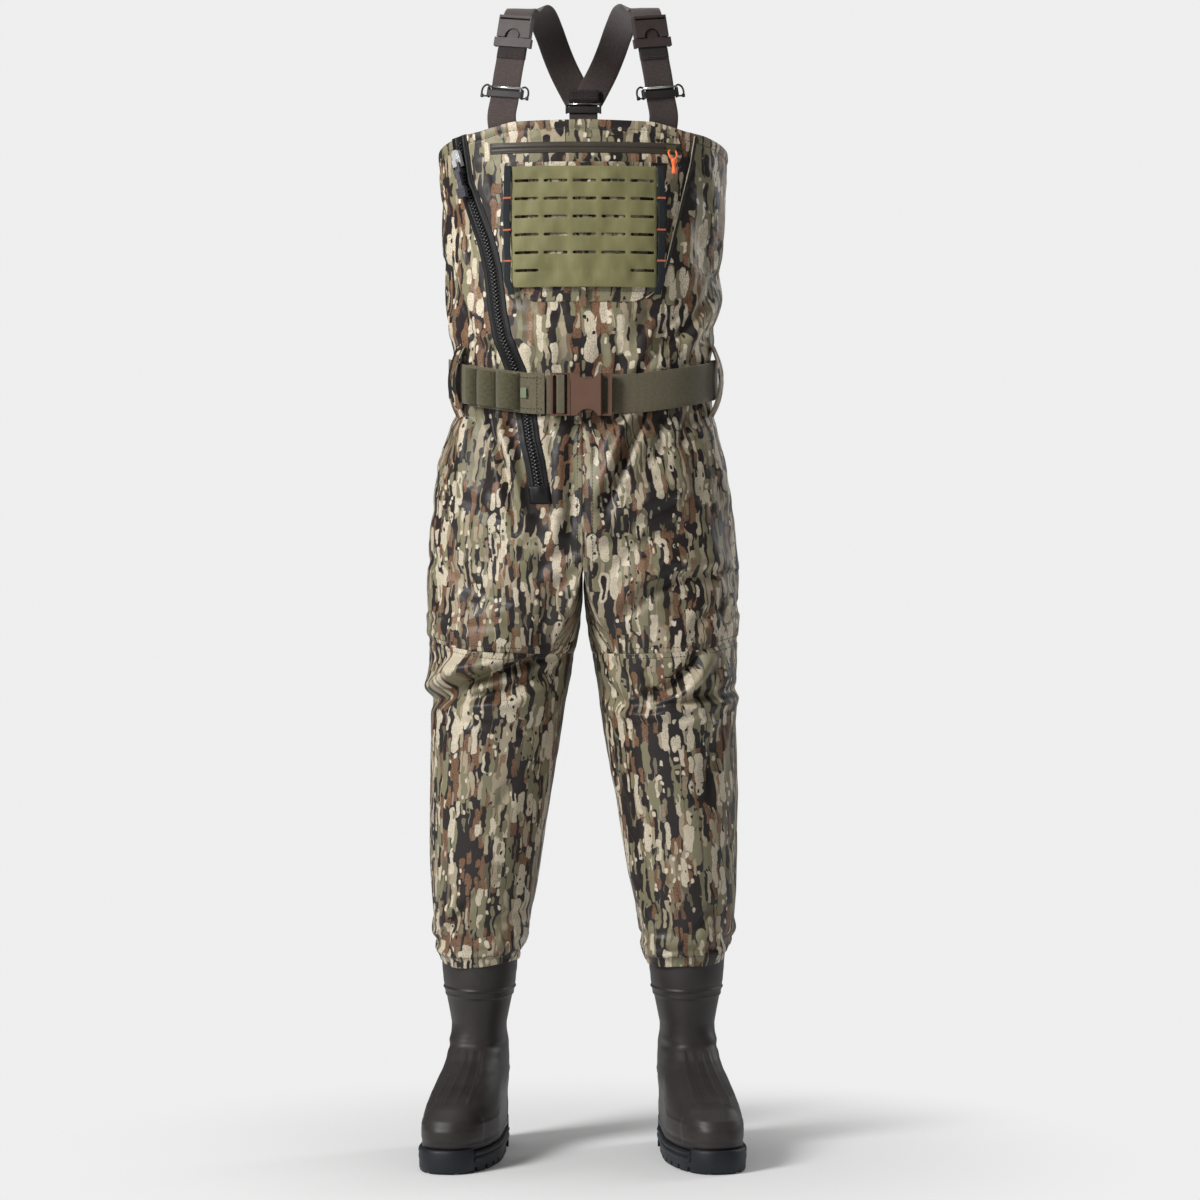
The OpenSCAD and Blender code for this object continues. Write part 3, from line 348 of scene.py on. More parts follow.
# ------------------------------------------------------------------ materials
def lin(r, g, b):
    f = lambda c: (c / 255 / 12.92) if c / 255 <= 0.04045 else ((c / 255 + 0.055) / 1.055) ** 2.4
    return (f(r), f(g), f(b), 1)
class NT:
    def __init__(s, name):
        s.m = bpy.data.materials.new(name); s.m.use_nodes = True; s.t = s.m.node_tree; s.t.nodes.clear()
        s.out = s.t.nodes.new("ShaderNodeOutputMaterial"); s.b = s.n("ShaderNodeBsdfPrincipled")
        s.t.links.new(s.b.outputs[0], s.out.inputs[0])
    def n(s, typ, **k):
        nd = s.t.nodes.new(typ)
        for a, v in k.items():
            if hasattr(nd, a): setattr(nd, a, v)
            else: s.set(nd, a.replace("_", " "), v)
        return nd
    def set(s, nd, name, v):
        inp = nd.inputs[name]
        if hasattr(v, "is_output") or isinstance(v, bpy.types.NodeSocket): s.t.links.new(v, inp)
        else: inp.default_value = v
    def L(s, a, b): s.t.links.new(a, b)
    def math(s, op, a, b=None, c=None, clamp=False):
        nd = s.t.nodes.new("ShaderNodeMath"); nd.operation = op; nd.use_clamp = clamp
        for i, v in enumerate((a, b, c)):
            if v is None: continue
            if isinstance(v, bpy.types.NodeSocket): s.t.links.new(v, nd.inputs[i])
            else: nd.inputs[i].default_value = v
        return nd.outputs[0]
    def mixc(s, fac, a, b):
        nd = s.t.nodes.new("ShaderNodeMix"); nd.data_type = 'RGBA'
        for sock, v in ((nd.inputs[0], fac), (nd.inputs[6], a), (nd.inputs[7], b)):
            if isinstance(v, bpy.types.NodeSocket): s.t.links.new(v, sock)
            else: sock.default_value = v
        return nd.outputs[2]
    def step(s, v, lo, hi):
        nd = s.t.nodes.new("ShaderNodeMapRange"); nd.interpolation_type = 'SMOOTHSTEP'
        s.t.links.new(v, nd.inputs[0]); nd.inputs[1].default_value = lo; nd.inputs[2].default_value = hi
        return nd.outputs[0]
    def mapv(s, v, scale, loc=(0, 0, 0)):
        nd = s.t.nodes.new("ShaderNodeMapping"); s.t.links.new(v, nd.inputs[0])
        nd.inputs[1].default_value = loc; nd.inputs[3].default_value = scale
        return nd.outputs[0]
    def noise(s, v, scale=1.0, detail=2.0, rough=0.5, dist=0.0, out=0):
        nd = s.t.nodes.new("ShaderNodeTexNoise"); s.t.links.new(v, nd.inputs["Vector"])
        nd.inputs["Scale"].default_value = scale; nd.inputs["Detail"].default_value = detail
        nd.inputs["Roughness"].default_value = rough; nd.inputs["Distortion"].default_value = dist
        return nd.outputs[out]
    def vor(s, v, scale=1.0, metric='EUCLIDEAN', exp=4.0, rand=1.0):
        nd = s.t.nodes.new("ShaderNodeTexVoronoi"); nd.distance = metric; s.t.links.new(v, nd.inputs["Vector"])
        nd.inputs["Scale"].default_value = scale; nd.inputs["Randomness"].default_value = rand
        if metric == 'MINKOWSKI': nd.inputs["Exponent"].default_value = exp
        return nd.outputs["Distance"], nd.outputs["Color"]
    def attr(s, name="pat"):
        nd = s.t.nodes.new("ShaderNodeAttribute"); nd.attribute_name = name; return nd.outputs["Vector"]
    def obj(s):
        return s.t.nodes.new("ShaderNodeTexCoord").outputs["Object"]
    def sep(s, v):
        nd = s.t.nodes.new("ShaderNodeSeparateXYZ"); s.t.links.new(v, nd.inputs[0]); return nd.outputs
    def bump(s, h, dist_mm, strength=1.0, prev=None):
        nd = s.t.nodes.new("ShaderNodeBump"); nd.inputs["Strength"].default_value = strength; nd.inputs["Distance"].default_value = dist_mm * MM
        s.t.links.new(h, nd.inputs["Height"])
        if prev is not None: s.t.links.new(prev, nd.inputs["Normal"])
        return nd.outputs[0]
    def fin(s, col=None, rough=None, nrm=None, **k):
        if col is not None: s.set(s.b, "Base Color", col)
        if rough is not None: s.set(s.b, "Roughness", rough)
        if nrm is not None: s.t.links.new(nrm, s.b.inputs["Normal"])
        for a, v in k.items(): s.set(s.b, a.replace("_", " "), v)
        return s.m

OLIVE, TAN, CHAR, BROWN, CREAM, MOSS = lin(125, 119, 93), lin(162, 149, 125), lin(33, 26, 25), lin(124, 91, 66), lin(206, 194, 171), lin(96, 88, 70)
def mat_camo(name="camo_fabric", gain=1.0, sx=1.22, sy=1.16):
    """generic upright camouflage: capsule-shaped drips, kept in clumps, layered in five tones"""
    s = NT(name); p3 = s.attr(); X, Y, Z = s.sep(p3)[0:3]
    cb = s.t.nodes.new("ShaderNodeCombineXYZ")
    s.L(s.math('MULTIPLY_ADD', Z, 0.37, X), cb.inputs[0]); s.L(s.math('MULTIPLY_ADD', Z, 0.53, Y), cb.inputs[1]); p = s.mapv(cb.outputs[0], (sx, sy, 1))
    def noise2(v, scale=1.0, detail=1.0, rough=0.5, out=0):
        nd = s.t.nodes.new("ShaderNodeTexNoise"); nd.noise_dimensions = '2D'; s.L(v, nd.inputs["Vector"])
        nd.inputs["Scale"].default_value = scale; nd.inputs["Detail"].default_value = detail; nd.inputs["Roughness"].default_value = rough
        return nd.outputs[out]
    def vm(op, a, b, c=None):
        nd = s.t.nodes.new("ShaderNodeVectorMath"); nd.operation = op
        for i, v in enumerate((a, b, c)):
            if v is None: continue
            if isinstance(v, bpy.types.NodeSocket): s.L(v, nd.inputs[i])
            else: nd.inputs[i].default_value = v
        return nd.outputs[0]
    wob = noise2(s.mapv(p, (75, 48, 1)), 1, 1.5, 0.5, out=1)
    q = vm('MULTIPLY_ADD', vm('SUBTRACT', wob, (0.5, 0.5, 0.5)), (0.0085, 0.010, 0), p)
    def drips(w, h, seed, th, rad, hl, clump=(30, 11), soft=0.0005, rnd=0.9):
        u = s.mapv(q, (1 / w, 1 / h, 1), (seed, seed * 1.7, 0))
        vo = s.t.nodes.new("ShaderNodeTexVoronoi"); vo.voronoi_dimensions = '2D'; vo.distance = 'CHEBYCHEV'
        s.L(u, vo.inputs["Vector"]); vo.inputs["Scale"].default_value = 1; vo.inputs["Randomness"].default_value = rnd
        pos = vo.outputs["Position"]; c = s.sep(vo.outputs["Color"])
        d = s.sep(vm('MULTIPLY', vm('SUBTRACT', u, pos), (w, h, 1)))
        cl = noise2(s.mapv(pos, (clump[0] * w, clump[1] * h, 1), (seed * 3.1, 0, 0)), 1, 1.0, 0.5)
        on = s.step(cl, th - 0.004, th + 0.004)
        R = s.math('MULTIPLY_ADD', c[0], rad * 0.7, rad * 0.65)
        H = s.math('MULTIPLY_ADD', c[1], hl * 1.1, hl * 0.4)
        dy = s.math('MAXIMUM', s.math('SUBTRACT', s.math('ABSOLUTE', d[1]), H), 0.0)
        dist = s.math('SQRT', s.math('ADD', s.math('MULTIPLY', d[0], d[0]), s.math('MULTIPLY', dy, dy)))
        return s.math('MULTIPLY', on, s.step(s.math('SUBTRACT', R, dist), -soft, soft))
    def both(a, b): return s.math('MAXIMUM', a, b)
    grain = s.noise(s.mapv(p, (900, 700, 1)), 1, 2.0, 0.7)
    gr2 = noise2(s.mapv(p, (560, 480, 1)), 1, 1.0, 0.6)
    def stip(mask, amt=0.35): return s.math('MULTIPLY', mask, s.math('ADD', 1 - amt, s.math('MULTIPLY', s.step(gr2, 0.44, 0.52), amt)))
    shade = noise2(s.mapv(p, (26, 7, 1), (3, 1, 0)), 1, 2.0)
    col = s.mixc(s.step(shade, 0.47, 0.50), OLIVE, MOSS)
    t1 = both(drips(0.019, 0.090, 3.1, 0.485, 0.0082, 0.036, (15, 6)), drips(0.024, 0.110, 7.9, 0.515, 0.0090, 0.046, (15, 6))); col = s.mixc(stip(t1, 0.10), col, TAN)
    l1 = drips(0.012, 0.130, 71.3, 0.47, 0.0016, 0.055, (20, 7)); col = s.mixc(l1, col, MOSS)
    c1 = both(drips(0.020, 0.080, 9.7, 0.475, 0.0098, 0.034, (16, 7)), drips(0.026, 0.060, 15.3, 0.50, 0.0125, 0.020, (16, 7))); col = s.mixc(c1, col, CHAR)
    c3 = drips(0.016, 0.060, 57.7, 0.50, 0.0056, 0.026, (24, 10)); col = s.mixc(c3, col, CHAR)
    l2 = drips(0.013, 0.120, 83.9, 0.50, 0.0014, 0.050, (16, 6)); col = s.mixc(l2, col, CHAR)
    b1 = both(drips(0.017, 0.046, 21.4, 0.545, 0.0054, 0.016, (26, 12)), drips(0.011, 0.026, 26.2, 0.545, 0.0036, 0.008, (26, 12))); col = s.mixc(stip(b1, 0.50), col, BROWN)
    o1 = drips(0.021, 0.072, 33.3, 0.505, 0.0058, 0.026, (20, 8)); col = s.mixc(o1, col, OLIVE)
    o2 = drips(0.014, 0.040, 37.1, 0.545, 0.0030, 0.012, (22, 10)); col = s.mixc(o2, col, TAN)
    w1 = both(drips(0.022, 0.066, 41.2, 0.57, 0.0062, 0.017, (24, 11)), drips(0.014, 0.036, 47.9, 0.57, 0.0040, 0.009, (26, 12))); col = s.mixc(stip(w1, 0.35), col, CREAM)
    d0 = drips(0.020, 0.050, 66.1, 0.54, 0.0032, 0.013); col = s.mixc(d0, col, CHAR)
    o3 = drips(0.013, 0.030, 19.6, 0.56, 0.0026, 0.006); col = s.mixc(o3, col, OLIVE)
    d1 = drips(0.014, 0.019, 51.0, 0.575, 0.0022, 0.0014); col = s.mixc(d1, col, CREAM)
    d2 = drips(0.012, 0.016, 93.0, 0.60, 0.0016, 0.0008); col = s.mixc(d2, col, CHAR)
    # gain scales the whole colour; the bib's copy uses gain 1.14, which is painted light
    var = s.math('MULTIPLY_ADD', grain, 0.26 * gain, 0.87 * gain)
    hsv = s.t.nodes.new("ShaderNodeHueSaturation"); s.L(col, hsv.inputs["Color"]); s.L(var, hsv.inputs["Value"])
    px, py = X, Y
    tw = s.math('MULTIPLY', s.math('ADD', s.math('SINE', s.math('MULTIPLY', s.math('ADD', px, py), 6283 / 1.5)), s.math('SINE', s.math('MULTIPLY', s.math('SUBTRACT', px, s.math('MULTIPLY', py, 0.35)), 6283 / 1.1))), 0.25)
    n1 = s.bump(tw, 0.10, 0.55)
    crk = s.noise(s.mapv(p3, (60, 45, 1), (7, 3, 2)), 1, 4.0, 0.6, 0.6)
    n2 = s.bump(crk, 2.2, 0.34, n1)
    rough = s.math('MULTIPLY_ADD', crk, 0.22, 0.37)
    return s.fin(hsv.outputs[0], rough, n2, Sheen_Weight=0.03, Sheen_Roughness=0.5, Specular_IOR_Level=0.42)
def mat_web(name, col, pitch=1.7, rough=0.72, col2=None, herring=False, bumpd=0.35):
    """woven strap: pat.x metres across from the middle, pat.y metres along"""
    s = NT(name); p = s.attr(); X, Y, Z = s.sep(p)[0:3]
    a = s.math('SINE', s.math('MULTIPLY', Y, 6283.2 / pitch))
    b = s.math('SINE', s.math('ADD', s.math('MULTIPLY', X, 6283.2 / (pitch * 0.62)), s.math('MULTIPLY', a, 0.9)))
    h = s.math('MULTIPLY_ADD', b, 0.3, s.math('MULTIPLY', a, 0.5))
    n = s.noise(s.mapv(p, (300, 260, 1)), 1, 3.0, 0.6)
    c = s.mixc(s.step(n, 0.3, 0.7), col, col2 or tuple(x * 0.72 for x in col[:3]) + (1,))
    # painted shade: colour darkened toward half where the weave height is low, in the valleys between the ribs
    c = s.mixc(s.math('MULTIPLY', s.step(h, 0.1, -0.7), 0.45), c, tuple(x * 0.5 for x in col[:3]) + (1,))
    return s.fin(c, s.math('MULTIPLY_ADD', n, 0.18, rough - 0.09), s.bump(s.noise(s.mapv(p, (45, 30, 1)), 1, 2), 0.7, 0.2, s.bump(h, bumpd, 0.7)), Sheen_Weight=0.3, Sheen_Roughness=0.45, Specular_IOR_Level=0.3)
def mat_cloth(name, col, scale=1.0, rough=0.8, amt=0.25, mottle=0.25):
    s = NT(name); p = s.mapv(s.obj(), (1, 1, 1))
    n = s.noise(p, 900 * scale, 2, 0.6); m = s.noise(p, 40, 3, 0.55)
    c = s.mixc(s.math('MULTIPLY', s.step(m, 0.35, 0.65), mottle), col, tuple(x * 0.6 for x in col[:3]) + (1,))
    return s.fin(c, s.math('MULTIPLY_ADD', n, 0.15, rough - 0.08), s.bump(m, 1.2, 0.25, s.bump(n, 0.25, amt)), Sheen_Weight=0.25)
def mat_hard(name, col, rough=0.4, metal=0.0, grain=0.12, scale=600, coat=0.0, edge_lighten=0.0, spec=0.5):
    s = NT(name); p = s.obj()
    n = s.noise(p, scale, 3, 0.6); m = s.noise(p, 45, 4, 0.6)
    c = s.mixc(s.math('MULTIPLY', s.step(m, 0.35, 0.7), 0.3), col, tuple(min(1, x * 1.35 + 0.004) for x in col[:3]) + (1,))
    # lighter colour on sharp convex edges, found by pointiness
    if edge_lighten:
        g = s.t.nodes.new("ShaderNodeNewGeometry"); e = s.step(g.outputs["Pointiness"], 0.54, 0.62)
        c = s.mixc(s.math('MULTIPLY', e, edge_lighten), c, tuple(min(1, x * 2.2 + 0.02) for x in col[:3]) + (1,))
    r = s.math('MULTIPLY_ADD', m, 0.2, rough - 0.1)
    return s.fin(c, r, s.bump(n, 0.12, grain), Metallic=metal, Coat_Weight=coat, Coat_Roughness=0.3, Specular_IOR_Level=spec)
def mat_rubber(name, col, rough=0.52, dust=0.0):
    s = NT(name); p = s.obj()
    fine = s.noise(p, 1400, 2, 0.6); mid = s.noise(p, 28, 4, 0.55); big = s.noise(p, 9, 3, 0.5)
    c = s.mixc(s.math('MULTIPLY', s.step(mid, 0.35, 0.7), 0.45), col, tuple(min(1, x * 1.5 + 0.003) for x in col[:3]) + (1,))
    if dust: c = s.mixc(s.math('MULTIPLY', s.step(big, 0.5, 0.75), dust), c, lin(96, 88, 80))
    return s.fin(c, s.math('MULTIPLY_ADD', mid, 0.22, rough - 0.11), s.bump(mid, 0.6, 0.12, s.bump(fine, 0.10, 0.35)), Specular_IOR_Level=0.42)

M = {}
M["camo"] = mat_camo()
# bib copy of the camouflage: painted 14% lighter (gain 1.14) to stand in for more light on the bib, with a larger
# pattern
M["camo_bib"] = mat_camo("camo_fabric_bib", 1.14, 0.98, 0.98)
M["lining"] = mat_cloth("lining", lin(74, 72, 62), 0.7, 0.85, 0.3)
M["strap"] = mat_web("strap_webbing", lin(80, 69, 66), 1.7)
# darker copy of the strap webbing for the folded ends and turns: painted shade
M["strap_edge"] = mat_web("strap_fold", lin(50, 42, 40), 1.7)
M["belt"] = mat_web("belt_webbing", lin(107, 99, 79), 1.5, 0.62, lin(96, 89, 70), bumpd=0.25)
M["carrier"] = mat_web("belt_carrier", lin(114, 107, 84), 1.3, 0.75, lin(100, 94, 72), bumpd=0.25)
M["elastic"] = mat_web("elastic_webbing", lin(93, 88, 64), 1.1, 0.78, lin(76, 72, 52), bumpd=0.3)
M["black_web"] = mat_web("black_webbing", lin(30, 38, 42), 1.4, 0.75)
M["orange"] = mat_cloth("orange_thread", lin(212, 112, 70), 1.0, 0.6, 0.3, 0.15)
M["thread"] = mat_cloth("thread", lin(60, 56, 46), 1.0, 0.7, 0.3)
# dark thread for the stitching; also used for the painted shadow strip beside the pocket piping
M["thread_dark"] = mat_cloth("thread_dark", lin(48, 44, 36), 1.0, 0.7, 0.3)
M["olive"] = None
M["tape"] = mat_hard("coated_zip_tape", lin(15, 14, 14), 0.5, spec=0.3, grain=0.1, scale=900)
M["tape_brown"] = mat_hard("pocket_zip_coating", lin(60, 53, 44), 0.5, grain=0.12, scale=900)
M["teeth"] = mat_hard("zip_teeth", lin(16, 15, 16), 0.36, grain=0.05, spec=0.5)
M["chrome"] = mat_hard("slider_metal", lin(224, 224, 226), 0.28, metal=0.55, grain=0.03)
M["olive_metal"] = mat_hard("pocket_slider_metal", lin(128, 122, 88), 0.34, metal=0.85, grain=0.05)
M["steel"] = mat_hard("bright_bar", lin(214, 214, 214), 0.24, metal=1.0, grain=0.03)
M["pull"] = mat_hard("pull_rubber", lin(74, 74, 80), 0.55, grain=0.2)
M["cord"] = mat_cloth("orange_cord", lin(255, 112, 42), 1.2, 0.45, 0.4, 0.2)
M["buckle"] = mat_hard("buckle_plastic", lin(88, 62, 48), 0.46, grain=0.18, scale=900, edge_lighten=0.25)
M["clip"] = mat_hard("clip_plastic", lin(53, 43, 40), 0.6, grain=0.2, scale=900, edge_lighten=0.2)
M["wire"] = mat_hard("adjuster_black", lin(36, 31, 30), 0.62, metal=0.1, grain=0.06, edge_lighten=0.25)
M["boot"] = mat_rubber("boot_rubber", lin(43, 39, 38), 0.48, 0.07)
M["sole"] = mat_rubber("sole_rubber", lin(21, 25, 32), 0.55, 0.07)
M["insole"] = mat_cloth("insole_felt", lin(86, 90, 88), 0.6, 0.9, 0.4)
M["tag"] = mat_cloth("tag_fabric", lin(112, 124, 98), 1.0, 0.8, 0.3, 0.1)
M["pipe"] = mat_cloth("piping", lin(176, 170, 150), 1.0, 0.6, 0.3, 0.1)
def mat_olive():
    s = NT("olive_laminate"); p = s.attr()
    n = s.noise(s.mapv(p, (1100, 1100, 1)), 1, 2, 0.6); m = s.noise(s.mapv(p, (26, 9, 1)), 1, 3, 0.5); f = s.noise(s.mapv(p, (140, 25, 1)), 1, 3, 0.6)
    c = s.mixc(s.step(m, 0.3, 0.7), lin(128, 123, 80), lin(110, 107, 68))
    c = s.mixc(s.math('MULTIPLY', s.step(f, 0.5, 0.7), 0.25), c, lin(140, 137, 98))
    return s.fin(c, s.math('MULTIPLY_ADD', m, 0.2, 0.58), s.bump(f, 0.5, 0.25, s.bump(n, 0.12, 0.4)), Sheen_Weight=0.35, Sheen_Roughness=0.4)
M["olive"] = mat_olive()
for k, m in M.items():
    c = m.node_tree.nodes.get("Principled BSDF")

# ------------------------------------------------------------------ stitches: short rounded dashes lying on a surface
def stitch_mesh(paths, r=0.42, L=3.0, gap=1.4, lift=0.25):
    V, F = [], []
    ring = [(1.0, 0.0), (0.5, 0.8), (-0.5, 0.8), (-1.0, 0.0), (-0.5, -0.35), (0.5, -0.35)]
    for P, Nn in paths:
        P = np.asarray(P, float); Nn = np.asarray(Nn, float)
        s = np.concatenate([[0], np.cumsum(np.linalg.norm(np.diff(P, axis=0), axis=1))])
        at = lambda q: np.array([np.interp(q, s, P[:, k]) for k in range(3)])
        an = lambda q: np.array([np.interp(q, s, Nn[:, k]) for k in range(3)])
        q = gap
        while q + L < s[-1]:
            a, b = at(q), at(q + L); n = an(q + L / 2); n /= np.linalg.norm(n)
            t = (b - a) / max(np.linalg.norm(b - a), 1e-6); w = np.cross(t, n); w /= max(np.linalg.norm(w), 1e-6)
            base = len(V)
            for f, k in ((0.0, 0.35), (0.18, 1.0), (0.82, 1.0), (1.0, 0.35)):
                c = mix(a, b, f) + n * lift * (1 if 0.1 < f < 0.9 else 0.0)
                for x, y in ring: V.append(c + w * x * r * k + n * y * r * k)
            for i in range(3):
                for k in range(6):
                    F.append((base + i * 6 + k, base + i * 6 + (k + 1) % 6, base + (i + 1) * 6 + (k + 1) % 6, base + (i + 1) * 6 + k))
            F.append(tuple(base + k for k in range(6))[::-1]); F.append(tuple(base + 18 + k for k in range(6)))
            q += L + gap
    return V, F
def stitch_obj(name, paths, mat, **k):
    V, F = stitch_mesh(paths, **k)
    ob = new_obj(name, np.array(V) * MM, F); ob.data.materials.append(mat); return ob

# ------------------------------------------------------------------ cloth pass
def relax_grid(P, pin, wrap, frames=14, shrink=-0.016, cap=3.6, bend=0.7, grav=0.15, step=2):
    """every other point of a grid is simulated as cloth; the settled shift is spread back over the whole grid, in mm"""
    nr, nc = P.shape[:2]
    ri = np.unique(np.r_[np.arange(0, nr, step), nr - 1])
    cj = np.arange(0, nc, step) if wrap else np.unique(np.r_[np.arange(0, nc, step), nc - 1])
    Q, w = P[ri][:, cj], np.clip(pin[ri][:, cj], 0, 1).ravel()
    ob = grid_obj("cloth_sim", Q, wrap=wrap); n = len(w)
    v0 = np.zeros(n * 3); ob.data.vertices.foreach_get("co", v0); v0 = v0.reshape(-1, 3).copy()
    vg = ob.vertex_groups.new(name="pin"); wr = np.round(w, 2)
    for lv in np.unique(wr):
        if lv > 0: vg.add([int(i) for i in np.flatnonzero(wr == lv)], float(lv), 'REPLACE')
    cm = ob.modifiers.new("cloth", 'CLOTH'); cs = cm.settings
    cs.quality = 5; cs.mass = 0.35; cs.air_damping = 6
    cs.tension_stiffness = 28; cs.compression_stiffness = 28; cs.shear_stiffness = 12; cs.bending_stiffness = bend
    cs.tension_damping = 12; cs.compression_damping = 12; cs.shear_damping = 8; cs.bending_damping = 1.5
    cs.vertex_group_mass = "pin"; cs.shrink_min = shrink; cs.shrink_max = shrink
    cs.effector_weights.gravity = grav
    cm.collision_settings.use_collision = False; cm.collision_settings.use_self_collision = False
    cm.point_cache.frame_start = 1; cm.point_cache.frame_end = frames + 1
    sc = bpy.context.scene
    for f in range(1, frames + 1): sc.frame_set(f)
    dg = bpy.context.evaluated_depsgraph_get(); ev = ob.evaluated_get(dg).data
    v1 = np.zeros(n * 3); ev.vertices.foreach_get("co", v1); v1 = v1.reshape(-1, 3)
    sc.frame_set(1)
    d = (v1 - v0) / MM; d[~np.isfinite(d)] = 0
    L = np.linalg.norm(d, axis=1, keepdims=True); d *= cap * np.tanh(L / cap) / np.maximum(L, 1e-6)
    me = ob.data; bpy.data.objects.remove(ob); bpy.data.meshes.remove(me)
    d = d.reshape(len(ri), len(cj), 3)
    if wrap: d = np.concatenate([d, d[:, :1]], 1); cj = np.r_[cj, nc]
    def spread(A, at, m):
        q = np.arange(m); k = np.clip(np.searchsorted(at, q, side='right') - 1, 0, len(at) - 2); f = (q - at[k]) / (at[k + 1] - at[k])
        return A[k] * (1 - f)[:, None, None] + A[k + 1] * f[:, None, None]
    d = spread(d, ri, nr); d = spread(d.swapaxes(0, 1), cj, nc).swapaxes(0, 1)
    return d * np.clip(1 - pin, 0, 1)[..., None] ** 0.7

# ------------------------------------------------------------------ bib shell
def crumple(P, a=1.0, b=0.5, st=1.6, seed=0.0):
    return a * pnoise(P[..., 0] / 55 + seed, P[..., 1] / 55, P[..., 2] / (55 * st)) + b * pnoise(P[..., 0] / 24, P[..., 1] / 24 + seed, P[..., 2] / (24 * st))
def gathers(P, U, z0, amp=2.4, half=24.0, fall=30.0, pitch=17.0, seed=0.0):
    """pleats pressed in by the belt, fading up and down from it"""
    d = np.maximum(np.abs(P[..., 2] - z0) - half, 0)
    n = pnoise(U * 1000 / pitch, P[..., 2] / 130 + seed, seed)
    n2 = pnoise(U * 1000 / (pitch * 2.3), P[..., 2] / 90 + seed, seed + 5)
    return amp * np.exp(-d / fall) * (1.2 * np.abs(n) - 0.55 + 0.9 * n2)
NB_C, NB_R = 288, 112
th = np.linspace(-180, 180, NB_C, endpoint=False)
rr = np.linspace(0, 1, NB_R) ** 1.0
rr = np.unique(np.concatenate([np.linspace(0, 0.93, NB_R - 16), np.linspace(0.935, 1.0, 16)]))
TH, RR = np.meshgrid(th, rr)
Zlow = zb(TH) - 12
BZG = mix(Zlow, ztop(TH), RR)
BIB0 = torso(TH, BZG, 1.0)
J0 = int(np.argmin(np.abs(th)))
UB = arc_u(BIB0, J0)
NBb = grid_normals(BIB0, True)
xz = BIB0[..., 0] - zipx(BZG)
near_zip = np.where(cosd(TH) > -0.1, np.exp(-(np.maximum(np.abs(xz) - 15, 0) / 9) ** 2), 0)
pocket_near = smooth((130 - np.abs(BIB0[..., 0] - 8)) / 16) * smooth((BZG - 1082) / 14) * smooth((1300 - BZG) / 12) * (cosd(TH) > 0)
ztopg = ztop(TH)
D = crumple(BIB0, 2.2, 0.9, 2.0, 3.1) + gathers(BIB0, UB, zb(TH), 3.0, 26, 34, 19, 2.0) + fold_disp(BIB0, NBb, BIB_FOLDS, 1.3)
D = D * (1 - near_zip) * (1 - 0.85 * pocket_near)
D *= smooth((ztopg - BZG + 6) / 30) * 0.75 + 0.25
D *= 1 - smooth((14 - np.abs(BZG - 1289.5)) / 5) * smooth((130 - np.abs(BIB0[..., 0] - 3)) / 6) * (cosd(TH) > 0)
D = np.where(np.abs(BZG - zb(TH)) < 28, np.minimum(D, 0.4), D)
D -= 1.1 * np.exp(-((ztopg - BZG - 11) / 1.6) ** 2)                     # stitched hem along the top
D += 0.8 * np.exp(-((ztopg - BZG - 4) / 5.0) ** 2)
for t0 in (92.0, -104.0):                                              # side seams
    w = np.abs(wrapth(TH - t0)) * 3.1
    D -= 1.6 * np.exp(-(w / 2.2) ** 2); D += 0.8 * np.exp(-((w - 6) / 4.0) ** 2)
BIB = BIB0 + NBb * D[..., None]
def bib_pins():
    w = np.maximum(near_zip, smooth((zb(TH) + 60 - BZG) / 34))
    w = np.maximum(w, 0.95 * pocket_near)
    w = np.maximum(w, smooth((BZG - ztopg + 34) / 26))
    sw = np.exp(-(np.abs(wrapth(TH - 92)) * 3.1 / 12) ** 2); sw2 = np.exp(-(np.abs(wrapth(TH + 104)) * 3.1 / 12) ** 2)
    w = np.maximum(w, smooth((16 - np.abs(BZG - 1289.5)) / 5) * smooth((130 - np.abs(BIB0[..., 0] - 3)) / 6) * (cosd(TH) > 0))
    return np.maximum(np.maximum(w, sw * 0.6), sw2 * 0.6)
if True: BIB = BIB + relax_grid(BIB, bib_pins(), True)
def patch_cols(name, P, base_P, seams, mat, offs, mid=None):
    """a closed ring cut into panels at the seam columns, each with its own cut of the cloth"""
    nr, nc = P.shape[:2]; V, F, A = [], [], []; base = 0
    seams = sorted(seams)
    for k, s0 in enumerate(seams):
        s1 = seams[(k + 1) % len(seams)]
        cols = [(s0 + i) % nc for i in range(((s1 - s0) % nc or nc) + 1)]
        sub = P[:, cols]; du, dv, sd = offs[k]
        ref = base_P[:, cols]; u = arc_u(ref, len(cols) // 2 if mid is None else cols.index(mid))
        uv = np.stack([u + du, ref[..., 2] * MM + dv, np.full(u.shape, sd)], -1)
        V.append(sub.reshape(-1, 3)); A.append(uv.reshape(-1, 3)); F += grid_faces(nr, len(cols), False, base); base += nr * len(cols)
    ob = new_obj(name, np.vstack(V) * MM, F); set_pat(ob, np.vstack(A)); ob.data.materials.append(mat)
    return ob
cl = lambda t: int(np.argmin(np.abs(wrapth(th - t))))
bib = patch_cols("bib_shell", BIB, BIB0, [cl(-104), cl(92)], M["camo_bib"], [(0.63, 0.37, 2.0), (1.10, 0.33, 9.0)])
# the panel outboard of the zip is another cut of the cloth
a = bib.data.attributes["pat"]; n = len(bib.data.vertices)
buf = np.zeros(n * 3); a.data.foreach_get("vector", buf); buf = buf.reshape(-1, 3)
co = np.zeros(n * 3); bib.data.vertices.foreach_get("co", co); co = co.reshape(-1, 3) / MM
left = (co[:, 1] < 30) & (co[:, 0] < zipx(co[:, 2])) & (buf[:, 2] == 2.0)
buf[left] += (0.45, 0.21, 3.0); a.data.foreach_set("vector", buf.ravel())
bib.data.materials.append(M["lining"])
subsurf(bib, 1); solid(bib, 2.4); bib.modifiers["solidify"].material_offset = 1; bib.modifiers["solidify"].material_offset_rim = 0
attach(bib, "garment")
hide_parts("bib_front_panel", "bib_side_panel_right", "bib_back_panel")
